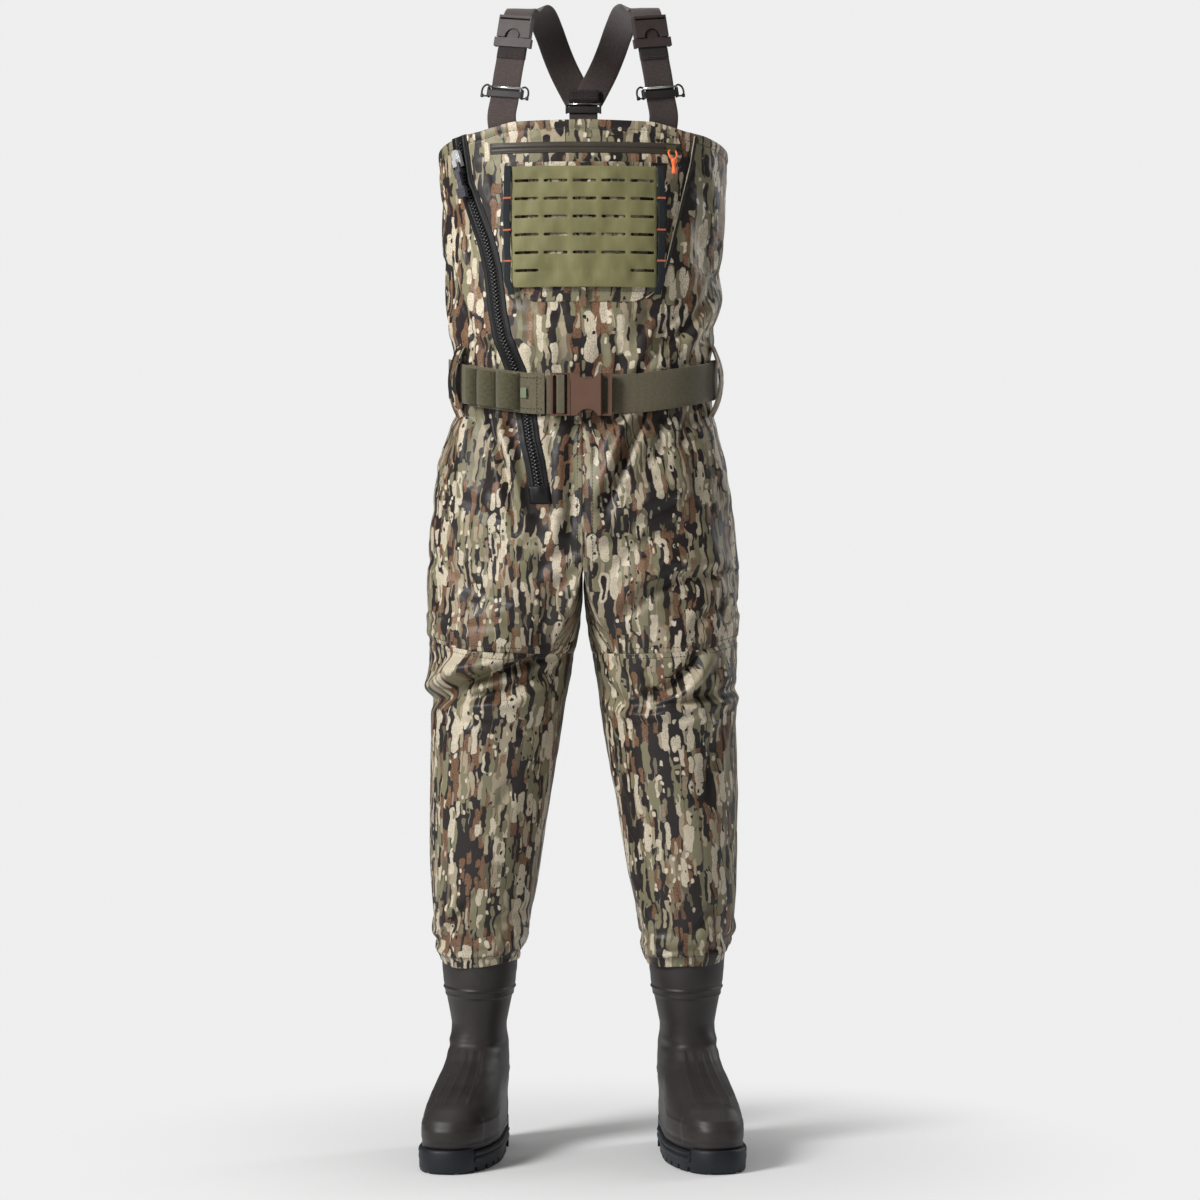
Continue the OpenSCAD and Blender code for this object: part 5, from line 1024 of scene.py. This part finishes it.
# slider and pull cord of the pocket zip
cad("pocket_zip_slider", M["olive_metal"], 0.7, 3)
ps_y, ps_R, ps_a = 208.918, 337.354, math.radians(19.39)
PS = Matrix.Translation((0, ps_y, 1289.5)) @ Matrix.Rotation(ps_a, 4, 'Z') @ Matrix.Translation((0, -ps_R, 0))
tp = lambda P: [tuple(PS @ Vector(p)) for p in P]
lo = [(-4.2, -4.6, -3.4), (4.2, -4.6, -3.4)]
loop = catmull([(4.4, -4.6, -3.6), (5.2, -5.9, -6.5), (4.7, -7.9, -10.6), (2.4, -9.4, -14.2), (0.9, -9.9, -16.5), (-0.9, -9.9, -16.5), (-2.4, -9.4, -14.2), (-4.7, -7.9, -10.6), (-5.2, -5.9, -6.5), (-4.4, -4.6, -3.6)], 6)
cd = [tube_obj("c", tp(loop), 1.35, M["cord"], 10), tube_obj("c", tp([(-4.6, -4.6, -3.4), (0, -4.6, -3.4), (4.6, -4.6, -3.4)]), 1.2, M["cord"], 10),
      tube_obj("c", tp(catmull([(0, -9.4, -13.6), (0.3, -9.9, -16.5), (0, -10.0, -20), (0.2, -10.1, -24), (0.8, -10.0, -29), (1.2, -9.8, -33.2)], 5)), 3, M["cord"], 14, rs=np.interp(np.linspace(0, 1, 26), [0, 0.12, 0.25, 0.45, 0.62, 0.85, 0.95, 1], [2.2, 3.9, 4.0, 2.6, 2.5, 3.7, 3.4, 1.6]))]
ride(join(cd, "pull_cord"), "pocket_zip_cord", "orange_cord", "pocket_zip_cord")

# ------------------------------------------------------------------ belt
BO = 5.6; BW2 = 25.0
def belt_strip(name, t0, t1, n, o, t, hwz, mat, seed, bulge=None, wav=0.5, rows=9):
    tt = np.linspace(t0, t1, n); ts = wrapth(tt)
    C = torso(ts, zb(ts), o); q = np.linspace(-1, 1, rows); z0 = zb(ts)
    N = torso(ts, z0, o + 1) - C; N[:, 2] = 0; N = unit(N)
    s = np.concatenate([[0], np.cumsum(np.linalg.norm(np.diff(C, axis=0), axis=1))])
    P = np.zeros((rows, n, 3))
    for i, a in enumerate(q):
        d = wav * pnoise(s / 60 + seed, a * 0.7, seed) + (0 if bulge is None else bulge(np.linspace(0, 1, n), a)) + 0 * s
        P[i] = C + N * d[:, None]; P[i, :, 2] = z0 + a * hwz
    return P, N, s
def strip_obj(name, P, N, s, t, hwz, mat, seed, bev=0.5):
    rows = P.shape[0]
    q = np.linspace(-1, 1, rows)[:, None] * hwz * MM
    ob = grid_obj(name, P, np.stack([np.broadcast_to(q, P.shape[:2]), np.broadcast_to(s * MM + seed, P.shape[:2]), np.zeros(P.shape[:2])], -1), mat=mat)
    solid(ob, t, offset=1); mod(ob, 'BEVEL', width=bev * MM, segments=2, limit_method='ANGLE', angle_limit=math.radians(50))
    return ob
t0, t1 = float(thx(20.0, BZ)), 360 + float(thx(-46.0, BZ))
P, N, s = belt_strip("b", t0, t1, 260, BO, 2.4, BW2, M["belt"], 1.0)
bw = strip_obj("belt_band", P, N, s, 2.4, BW2, M["belt"], 0.0); ride(bw, "garment", "belt_webbing", "belt_webbing")
c0, c1 = float(thx(-138.0, BZ + 15)), float(thx(-45.5, BZ))
P, N, s = belt_strip("c", c0, c1, 90, BO + 2.8, 1.8, 26, M["carrier"], 2.0, wav=0.3)
cr = strip_obj("belt_carrier_band", P, N, s, 1.7, 26.0, M["carrier"], 3.0)
ed = []
for r in (1, -2): ed.append((P[r] + N * 1.9, N))
xs_ = P[4, :, 0]; j = int(np.argmin(np.abs(xs_ + 57))); ed.append((P[:, j] + N[j] * 1.9, np.broadcast_to(N[j], (9, 3))))
cs_ = stitch_obj("st", ed, M["thread_dark"], r=0.5); set_pat(cs_, np.zeros((len(cs_.data.vertices), 3)))
apply_mods(cr); cr = join([cr, cs_], "belt_carrier_band"); ride(cr, "garment", "belt_carrier", "belt_carrier")
lps = []
for k, (xa_, xb_) in enumerate(((-102, -76.5), (-124.5, -103), (-137.2, -125.5))):
    a, b = float(thx(xa_, BZ + 8)), float(thx(xb_, BZ + 6))
    P, N, s = belt_strip("l", a, b, 26, BO + 4.6, 1.5, 22.5, M["elastic"], 4.0 + k, bulge=lambda f, z: 10.4 * np.sin(np.pi * np.clip(f, 0, 1)) ** 0.62 * (1 - 0.10 * z * z), wav=0.3)
    lps.append(strip_obj("l", P, N, s, 1.5, 22.5, M["elastic"], 5.0 + k)); apply_mods(lps[-1])
ride(join(lps, "elastic_shell_loops"), "garment", "elastic_loops", "belt_shell_loops")
# keeper strip stitched at the last loop and a small plain label
kt = float(thx(-79.0, BZ)); P, N, s = belt_strip("k", kt - 1.1, kt + 1.1, 7, BO + 5.0, 1.4, 24.5, M["carrier"], 9.0, bulge=lambda f, z: 2.2 * np.sin(np.pi * f))
kp = strip_obj("loop_keeper", P, N, s, 1.3, 24.5, M["carrier"], 9.0); ride(kp, "garment", "belt_carrier")
tg = BO + 6.0; pt = torso(thx(-70.0, BZ), zb(thx(-70.0, BZ)), tg); nt = unit((torso(thx(-70.0, BZ), BZ, tg + 1) - torso(thx(-70.0, BZ), BZ, tg))); nt[2] = 0; nt = unit(nt); wt = np.cross((0, 0, 1), -nt)
tagC = np.array([pt + np.array((0, 0, a)) for a in np.linspace(-6.4, 6.4, 12)]); tg_ = ribbon("belt_label", tagC + nt * (0.5 * np.sin(np.linspace(0, 3.14, 12)))[:, None], -wt, 4.2, 1.2, M["tag"], 7, cup=0.5)
ride(tg_, "garment", "tag_fabric", "belt_tag")
for n_, b in (("belt_buckle_socket", 1.5), ("belt_buckle_plug", 1.3), ("belt_latch_upper", 0.8), ("belt_latch_lower", 0.8)): cad(n_, M["buckle"], b, 4)
BY = -123.7
el = [box_bev("e", (-27.6, BY - 5.6, BZ), (9.6, 2.2, 49.0), 0.8, None, M["belt"]), box_bev("e", (-31.6, BY + 5.5, BZ), (28.0, 1.7, 49.0), 0.5, None, M["belt"]),
      box_bev("e", (-32.0, BY, BZ), (1.9, 12.5, 49.0), 0.6, None, M["belt"]), box_bev("e", (-23.4, BY, BZ), (1.9, 12.5, 49.0), 0.6, None, M["belt"])]
eo = join(el, "belt_end_fold")
co = np.zeros(len(eo.data.vertices) * 3); eo.data.vertices.foreach_get("co", co); co = co.reshape(-1, 3); set_pat(eo, np.stack([co[:, 2], co[:, 0] + co[:, 1], 0 * co[:, 0]], -1))
ride(eo, "belt_buckle_plug", "belt_webbing", "belt_end_loop")
# camouflage keepers round the belt
kl = []
for tc in (76.0, -65.0, 180.0):
    zc_ = float(zb(tc)); f = np.linspace(0, 1, 40); zl = zc_ + 46 - 92 * f
    o = 1.6 + 14.2 * np.sin(np.pi * f) ** 0.75
    C = np.stack([torso(tc, z_, o_) for z_, o_ in zip(zl, o)]); W = unit(torso(tc + 1, zc_, 5) - torso(tc - 1, zc_, 5))
    r = ribbon("k", C, -W, 10.5, 2.4, M["camo"], 9, 1.0 + tc * 0.01, ripple=0.8, cup=0.8)
    a = r.data.attributes["pat"]; n = len(r.data.vertices); bf = np.zeros(n * 3); a.data.foreach_get("vector", bf); bf = bf.reshape(-1, 3); bf[:, 2] = 40 + tc * 0.07; a.data.foreach_set("vector", bf.ravel())
    kl.append(r)
for r in kl: apply_mods(r)
ride(join(kl, "belt_keepers"), "garment", "camo_shell", "belt_loops")

# ------------------------------------------------------------------ suspenders
fs_b = np.array([103.0, -101, 1330]); fs_c = np.array([87.0, -94, 1434]); fs_dir = unit(fs_c - fs_b)
fs_t = unit(front_at(117.0, 1300.0) - front_at(89.0, 1300.0)); fs_w = unit(fs_t - (fs_t @ fs_dir) * fs_dir); fs_n = unit(np.cross(fs_dir, fs_w)); cl_d = float(np.linalg.norm(fs_c - fs_b))
mirx = lambda P, sg: np.asarray(P, float) * np.array([sg, 1, 1])
for sg, nm in ((1, "left"), (-1, "right")):
    f3 = lambda p: fs_b + fs_w * p[0] + fs_n * p[1] + fs_dir * p[2]
    base = [front_at(103.0, 1262.0, -6.2), front_at(103.0, 1300.0, -6.4), fs_b, f3((0, 0, 24))]
    C = resample(catmull(base + [f3((0.6, -0.2, 50)), f3((0.3, 0, 70)), f3((0, 0, cl_d - 24)), f3((0, 0, cl_d - 19))], 10), 80)
    k = smooth((C[:, 2] - 1262) / 60)[:, None]; W = unit(mix(fs_t, fs_w, k))
    r = ribbon("front_strap", mirx(C, sg), mirx(W, sg), 19.6, 1.9, M["strap"], 11, 2.0 * sg, ripple=0.5)
    # the end of the strap is folded over the plug's bar and sewn below it
    C2 = resample(catmull([f3((0, y_, cl_d + z_)) for y_, z_ in ((-1.9, -29), (-1.9, -22), (-1.6, -17), (-0.4, -12), (0.0, -7.5))], 6), 18)
    C4 = resample(catmull([f3((0, y_, cl_d + z_)) for y_, z_ in ((1.9, -29), (1.9, -22), (1.9, -17), (1.9, -12), (1.6, -7.5))], 6), 18)
    W2 = mirx(np.broadcast_to(fs_w, C2.shape), sg)
    # the folded layers use the darker strap copy, which is painted shade
    r2 = ribbon("fold", mirx(C2, sg), W2, 19.2, 1.6, M["strap_edge"], 9, 5.0 * sg, ripple=0.2); r4 = ribbon("fold", mirx(C4, sg), W2, 19.2, 1.6, M["strap_edge"], 9, 6.0 * sg, ripple=0.2)
    st = [(mirx(np.array([f3((x, -2.85, cl_d - 27)) for x in np.linspace(-17, 17, 20)]), sg), np.broadcast_to(mirx(-fs_n, sg), (20, 3)))]
    s_ = stitch_obj("st", st, M["thread_dark"], r=0.45); set_pat(s_, np.zeros((len(s_.data.vertices), 3)))
    for q_ in (r, r2, r4): apply_mods(q_)
    for ob in (join([r2, r4, s_], "front_strap_end_" + nm), r):
        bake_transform(ob)
    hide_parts("front_strap_" + nm)
    # sliding adjuster: plate, bright bar and a wire wing on each side
    Mx = Matrix.Scale(-1, 4, (1, 0, 0)) if sg < 0 else Matrix.Identity(4)
    AF = Mx @ frame_m(fs_b + fs_dir * 32, fs_w, fs_n, fs_dir)
    a = [box_bev("a", (0, -3.4, -2.2), (45.5, 2.2, 8.4), 0.8, AF, M["wire"]), box_bev("a", (0, 2.6, -1.0), (44, 1.4, 6.4), 0.5, AF, M["wire"])]
    for s2 in (-1, 1):
        a.append(box_bev("a", (s2 * 22.8, -0.6, -0.8), (2.6, 7.4, 12.6), 0.9, AF, M["wire"]))
        D = catmull([(s2 * 22.6, -1.4, 7.6), (s2 * 26.5, -1.4, 8.6), (s2 * 30.6, -1.4, 5.4), (s2 * 32.0, -1.4, 0.0), (s2 * 31.4, -1.4, -4.2)], 6)
        a.append(tube_obj("w", [tuple(AF @ Vector(p)) for p in D], 1.25, M["wire"], 10)); a.append(box_bev("w", (s2 * 31.0, -1.4, -5.6), (3.6, 3.2, 4.6), 0.8, AF, M["wire"]))
        a.append(box_bev("w", (s2 * 27.0, -1.4, -5.9), (6.5, 2.0, 2.0), 0.6, AF, M["wire"]))
    a.append(tube_obj("bar", [tuple(AF @ Vector(p)) for p in ((-22.6, -4.2, 6.0), (0, -4.2, 6.0), (22.6, -4.2, 6.0))], 1.45, M["steel"], 14))
    for q_ in a:
        if sg < 0 and q_.name.startswith(("a", "w")) and q_.data.polygons: q_.data.flip_normals() if q_.name.startswith(("a",)) else None
    ao = join(a, "adjuster_" + nm)
    bm = bmesh.new(); bm.from_mesh(ao.data); bmesh.ops.recalc_face_normals(bm, faces=bm.faces); bm.to_mesh(ao.data); bm.free()
    ride(ao, "strap_adjuster_" + nm, "adjuster_black", "strap_adjuster_" + nm)
    cad("clip_socket_" + nm, M["clip"], 1.0, 3); cad("clip_plug_" + nm, M["clip"], 0.8, 3)
    # folded strap turn just under the adjuster plate
    C3 = np.array([f3((0, -1.6, a_)) for a_ in np.linspace(25.5, 38, 10)])
    # painted shade: the turn uses the darker strap copy
    fo = ribbon("strap_turn", mirx(C3, sg), mirx(np.broadcast_to(fs_w, C3.shape), sg), 19.4, 1.6, M["strap_edge"], 9, 7.0)
    ride(fo, "strap_adjuster_" + nm, "strap_webbing")
bs_s = fs_c + fs_dir * 20
bsP = [bs_s, bs_s + np.array([-1.2, 2.2, 7]), fs_c + fs_dir * 24 + np.array([-4.5, 12, 14]), (75, -62, 1470), (70, -38, 1476), (62, -14, 1479), (54, 14, 1476), (46, 44, 1462), (37, 68, 1440), (27, 84, 1418), (13, 94, 1392), (7, 94.6, 1381.5)]
for sg, nm, dy in ((1, "left", 0.0), (-1, "right", 4.5)):
    C = resample(catmull(bsP, 10), 110); f = np.linspace(0, 1, 110)[:, None]
    W = unit(mix(fs_w, np.array([0.82, 0.0, -0.5]), smooth(f / 0.45)))
    r = ribbon("back_strap_" + nm, mirx(C + fs_n * dy * smooth(f * 4), sg), mirx(W, sg), 19.6, 1.9, M["strap"], 11, 11.0 * sg, ripple=0.8)
    ride(r, "garment", "strap_webbing", "back_strap_" + nm)
jn = []
# painted shade: the junction fold uses the darker strap copy
jn.append(ribbon("j", resample(catmull([(0, 87.6, 1393), (0, 87.4, 1386), (0, 87.6, 1381.5), (0, 89.4, 1378.8), (0, 94.4, 1378.2), (0, 99.4, 1378.8), (0, 101.3, 1381.5), (0, 101.5, 1386), (0, 101.3, 1393)], 5), 44), (1, 0, 0), 20.4, 1.9, M["strap_edge"], 9, 3.0, ripple=0.3))
st = [(np.array([(x, 86.4, z) for x in np.linspace(-18, 18, 20)]), np.broadcast_to((0, -1, 0), (20, 3))) for z in (1391, 1383)]
s_ = stitch_obj("st", st, M["thread_dark"], r=0.45); set_pat(s_, np.zeros((len(s_.data.vertices), 3)))
for q_ in jn: apply_mods(q_)
ride(join(jn + [s_], "strap_junction_fold"), "garment", "strap_webbing", "strap_junction")
C = resample(catmull([(0, 105.2, 1214), (0, 105.2, 1232), (0, 104.6, 1250), (0, 99.5, 1272), (0, 95.5, 1292), (0, 94.9, 1320), (0, 94.9, 1376.4)], 8), 66)
rs_ = ribbon("rear_strap_web", C, (1, 0, 0), 18.8, 1.8, M["strap"], 11, 15.0, ripple=0.4); ride(rs_, "garment", "strap_webbing", "rear_strap")
RF = Matrix.Translation((0, 94.9, 1369.6))
a = [box_bev("a", (0, -3.4, -2.4), (43, 2.2, 8.4), 0.8, RF, M["wire"]), box_bev("a", (0, 2.5, -1.0), (43, 1.3, 6.2), 0.5, RF, M["wire"])]
for s2 in (-1, 1):
    a.append(box_bev("a", (s2 * 22.4, -0.6, 0.4), (2.8, 8.6, 14.4), 1.0, RF, M["wire"]))
a.append(tube_obj("bar", [(-21.5, 91.3, 1375.0), (0, 91.3, 1375.0), (21.5, 91.3, 1375.0)], 1.5, M["steel"], 14))
ride(join(a, "rear_adjuster_ladder"), "rear_adjuster", "adjuster_black", "rear_adjuster")

# ------------------------------------------------------------------ boots
ANK = np.array([136.0, 32, 0]); TO = math.radians(11)
BWt = tab([[150, 35.5], [166, 36], [200, 42.5], [215, 46], [268, 50]]); BDt = tab([[150, 54], [165, 54], [200, 59], [215, 60.5], [268, 61]]); BYt = tab([[166, 30], [200, 29], [268, 24.5]])
FFt = tab([[24, 206], [40, 212], [52, 212], [64, 205], [76, 188], [88, 160], [98, 128], [110, 98], [122, 76], [134, 62], [148, 54]])
FBt = tab([[24, 66], [40, 69], [60, 70], [90, 66], [120, 60], [148, 56]]); FWt = tab([[24, 43], [40, 46], [56, 46.5], [70, 45], [84, 43], [98, 41], [112, 38], [130, 36], [148, 35.5]])
def shaft(psi, z, o=0.0): return np.stack([mix(136.0, 135.0, (z - 150) / 100) + (BWt(z) + o) * sind(psi), BYt(z) - (BDt(z) + o) * cosd(psi), z + 0 * psi], -1)
def footl(psi, z, o=0.0):
    f, b, w = FFt(z) + o, FBt(z) + o, FWt(z) + o; c, s = cosd(psi), sind(psi); L = f + b; yc = (b - f) / 2
    y = yc - L / 2 * pw(c, 0.72); t = np.clip((y + f) / L, 0, 1); g = smooth((z - 60) / 60)
    tp_ = np.where(z > 120, 1.0, mix(mix(1.0, 0.80, smooth((t - 0.35) / 0.4)), 1, g))
    return np.stack([w * tp_ * pw(s, 0.8) + np.where(z < 120, -4 * (1 - t) * (1 - g), 0), y, z + 0 * psi], -1)
def onfoot(P):
    c, s = math.cos(TO), math.sin(TO)
    return np.stack([ANK[0] + P[..., 0] * c - P[..., 1] * s, ANK[1] + P[..., 0] * s + P[..., 1] * c, P[..., 2]], -1)
def boot(side):
    psi = np.linspace(0, 360, 132, endpoint=False)
    # more rows in z where the toe turns
    zr = np.concatenate([np.linspace(27, 60, 16), np.linspace(62, 120, 42), np.linspace(122, 168, 26), np.linspace(170, 200, 12), np.linspace(201.5, 219, 16), np.linspace(222, 268, 12)])
    PS_, Z_ = np.meshgrid(psi, zr)
    k = smooth((Z_ - 136) / 34)[..., None]
    P = mix(onfoot(footl(PS_, np.minimum(Z_, 148))), shaft(PS_, np.maximum(Z_, 150)), k); P[..., 2] = Z_
    Fl = footl(PS_, np.minimum(Z_, 148))
    N = grid_normals(P, True)
    D = np.zeros(Z_.shape); front = smooth((cosd(PS_) + 0.15) / 0.5)
    # collar bands round the shaft
    tilt = 2.0 * cosd(PS_)
    for zc_, a_, w_ in ((213.5, 1.5, 1.5), (204.0, 1.4, 1.5)): D += a_ * np.exp(-((Z_ - zc_ + tilt) / w_) ** 2)
    D += 0.7 * smooth((Z_ - 204 + tilt) / 2) * smooth((215 - tilt - Z_) / 2) + 0.8 * smooth((Z_ - 214 + tilt) / 10)
    # ankle creases
    D += front * (1.0 * np.exp(-((Z_ - 145 - 3 * cosd(PS_)) / 5) ** 2) - 1.3 * np.exp(-((Z_ - 136 - 4 * cosd(PS_)) / 4.2) ** 2) + 0.6 * np.exp(-((Z_ - 128 - 5 * cosd(PS_)) / 5) ** 2))
    # fan of ribs down the instep
    yy = Fl[..., 1]; xx = Fl[..., 0]; wy = np.interp(-yy, [30, 60, 100, 150, 190, 206], [22, 27, 33, 38, 38, 34])
    on = smooth((Z_ - 62) / 10) * smooth((138 - Z_) / 10) * smooth((-yy - 34) / 16)
    toe = smooth((178 + 0.10 * xx - (-yy) - 0.004 * xx * xx) / 6)
    for f_ in (-0.62, -0.24, 0.14, 0.50): D += 1.5 * np.exp(-((xx - f_ * wy) / 1.7) ** 2) * on * toe - 0.5 * np.exp(-((xx - f_ * wy - 3.4) / 1.6) ** 2) * on * toe
    # toe cap: a step up over the toe
    D += 1.5 * (1 - toe) * smooth((Z_ - 30) / 6) * smooth((-yy - 100) / 30)
    # side seam line sweeping from the heel to the toe
    sl = 58 + 46 * smooth((yy + 120) / 150); D += 1.0 * np.exp(-((Z_ - sl) / 1.8) ** 2) * smooth((np.abs(xx) - 18) / 12) * smooth((110 - Z_) / 8)
    # heel counter
    D += 1.2 * smooth((yy - 22) / 6) * smooth((96 - Z_) / 8)
    # rand above the sole
    D += 1.9 * smooth((36 - Z_) / 3.0) - 0.6 * np.exp(-((Z_ - 38.5) / 1.6) ** 2)
    D += 0.7 * pnoise(P[..., 0] / 40, P[..., 1] / 40, Z_ / 40) + 1.1 * pnoise(P[..., 0] / 60 + 5, P[..., 1] / 60, Z_ / 16) * smooth((Z_ - 215) / 20)
    P = P + N * D[..., None]
    P[..., 0] *= side
    ob = grid_obj("boot_upper_" + ("left" if side > 0 else "right"), P, wrap=True, mat=M["boot"])
    if side < 0: ob.data.flip_normals()
    ob.data.materials.append(M["lining"]); subsurf(ob, 1); solid(ob, 3.2); ob.modifiers["solidify"].material_offset = 1; apply_mods(ob)
    return ob
def flat_ring(side, z0, z1, o, name, mat, psis, prof):
    """moulded strip following the sole's outline; prof gives (dz, outset)"""
    rows_ = []
    for dz, do in prof:
        P = onfoot(footl(psis, np.full(psis.shape, 40.0), o + do)); P[..., 2] = z0 + dz * (z1 - z0); rows_.append(P)
    G = np.array(rows_); G[..., 0] *= side
    ob = grid_obj(name, G, mat=mat)
    if side < 0: ob.data.flip_normals()
    return ob
for side, nm in ((1, "left"), (-1, "right")):
    ob = boot(side)
    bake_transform(ob)
    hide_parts("boot_shaft_" + nm, "boot_ankle_" + nm, "boot_foot_" + nm)
    cad("outsole_" + nm, M["sole"], 1.4, 3, 40); cad("insole_" + nm, M["insole"], 0)
    pr = [(0, -1.5), (0.02, 0.6), (0.12, 1.7), (0.5, 2.0), (0.86, 1.7), (0.97, 0.6), (1.0, -1.5)]
    bits = []
    # toe bumper, standing forward over the rand
    ps1 = np.linspace(-38, 44, 60); bits.append(flat_ring(side, 1.2, 30.0, 3.2, "bumper", M["sole"], ps1, pr))
    ps2 = np.concatenate([np.linspace(46, 120, 50)]); bits.append(flat_ring(side, 12.5, 19.5, 2.6, "w", M["sole"], ps2, pr)); bits.append(flat_ring(side, 21.5, 25.6, 2.8, "w", M["sole"], ps2, pr))
    ps3 = np.concatenate([np.linspace(-120, -40, 50)]); bits.append(flat_ring(side, 12.5, 19.5, 2.6, "w", M["sole"], ps3, pr)); bits.append(flat_ring(side, 21.5, 25.6, 2.8, "w", M["sole"], ps3, pr))
    ps4 = np.linspace(140, 220, 50); bits.append(flat_ring(side, 11.0, 40.0, 2.6, "h", M["sole"], ps4, pr))
    o_ = join(bits, "sole_moulding_" + nm); solid(o_, 1.2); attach(o_, "foot_" + nm)

# ------------------------------------------------------------------ stage, light, camera
SOLE_BOX = {k: [[float(c) for c in v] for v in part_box("outsole_" + k)] for k in ("right", "left")}
def stage_light_camera():
    fl = new_obj("floor", np.array([[-14, -8, 0], [14, -8, 0], [14, 22, 0], [-14, 22, 0]]), [(0, 1, 2, 3)], False)
    s = NT("floor"); BG = (0.86, 0.86, 0.86, 1)
    g = s.t.nodes.new("ShaderNodeNewGeometry"); ln = s.t.nodes.new("ShaderNodeVectorMath"); ln.operation = 'LENGTH'; s.L(g.outputs["Position"], ln.inputs[0])
    far = s.step(ln.outputs["Value"], 0.16, 0.75)
    s.fin((0.88, 0.88, 0.88, 1), 0.95, Specular_IOR_Level=0.0)
    em = s.t.nodes.new("ShaderNodeEmission"); em.inputs[0].default_value = BG; em.inputs[1].default_value = 1.0
    lp = s.t.nodes.new("ShaderNodeLightPath"); f = s.math('MULTIPLY', far, lp.outputs["Is Camera Ray"])
    mx = s.t.nodes.new("ShaderNodeMixShader"); s.L(f, mx.inputs[0]); s.L(s.b.outputs[0], mx.inputs[1]); s.L(em.outputs[0], mx.inputs[2]); s.L(mx.outputs[0], s.out.inputs[0])
    fl.data.materials.append(s.m); fl.location.z = -0.0005
    # the floor drops when a pose points the toes below it
    dr = fl.driver_add("location", 2).driver; dr.type = 'SCRIPTED'; names = []
    for side in ("right", "left"):
        lo, hi = SOLE_BOX[side]; xm, xw = (lo[0] + hi[0]) / 2, (hi[0] - lo[0]) / 2
        for k, (fx, ey) in enumerate(((0.1, lo[1] + 0.002), (-0.62, lo[1] + 0.022), (0.62, lo[1] + 0.022), (0.0, hi[1] - 0.003))):
            e = bpy.data.objects.new("floor_feeler_%s_%d" % (side, k), None); bpy.context.scene.collection.objects.link(e)
            e.location = (xm + xw * fx, ey, 0.0); e.empty_display_size = 0.01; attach(e, "foot_" + side)
            v = dr.variables.new(); v.name = "z%d" % len(names); v.type = 'TRANSFORMS'; names.append(v.name)
            v.targets[0].id = e; v.targets[0].transform_type = 'LOC_Z'; v.targets[0].transform_space = 'WORLD_SPACE'
    dr.expression = "min(0, %s) - 0.0005" % ", ".join(names)
    w = bpy.data.worlds.new("world"); bpy.context.scene.world = w; w.use_nodes = True; t = w.node_tree
    bgn = t.nodes["Background"]; bgn.inputs[0].default_value = (1, 1, 1, 1)
    lp = t.nodes.new("ShaderNodeLightPath"); mr = t.nodes.new("ShaderNodeMapRange"); t.links.new(lp.outputs["Is Camera Ray"], mr.inputs[0])
    mr.inputs[3].default_value = WORLD; mr.inputs[4].default_value = 0.86; t.links.new(mr.outputs[0], bgn.inputs[1])
    def area(nm, loc, target, size, e, col=(1, 1, 1)):
        l = bpy.data.lights.new(nm, 'AREA'); l.shape = 'RECTANGLE'; l.size, l.size_y = size; l.energy = e; l.color = col
        o = bpy.data.objects.new(nm, l); bpy.context.scene.collection.objects.link(o); o.location = loc
        o.rotation_euler = (Vector(target) - Vector(loc)).to_track_quat('-Z', 'Y').to_euler()
    area("key", (-2.4, -2.2, 2.5), (0, 0, 0.98), (0.9, 1.6), 134)
    area("fill", (2.6, -2.6, 1.4), (0, 0, 0.7), (2.0, 2.0), 1.2)
    area("rim", (2.2, 1.5, 1.6), (0, 0, 0.8), (0.6, 2.2), 18)
    area("top", (0.0, 0.3, 3.2), (0, 0, 0.6), (2.2, 2.2), 20)
    cam = bpy.data.cameras.new("camera"); co = bpy.data.objects.new("camera", cam); bpy.context.scene.collection.objects.link(co)
    co.location = (0.022, -4.45, 0.717); co.rotation_euler = (math.radians(90), 0, 0)
    cam.sensor_width = 36; cam.sensor_fit = 'HORIZONTAL'; cam.lens = 36 * 3423 / 1200; cam.clip_end = 60
    bpy.context.scene.camera = co
    bpy.context.scene.view_settings.view_transform = 'Standard'
WORLD = 0.135
stage_light_camera()
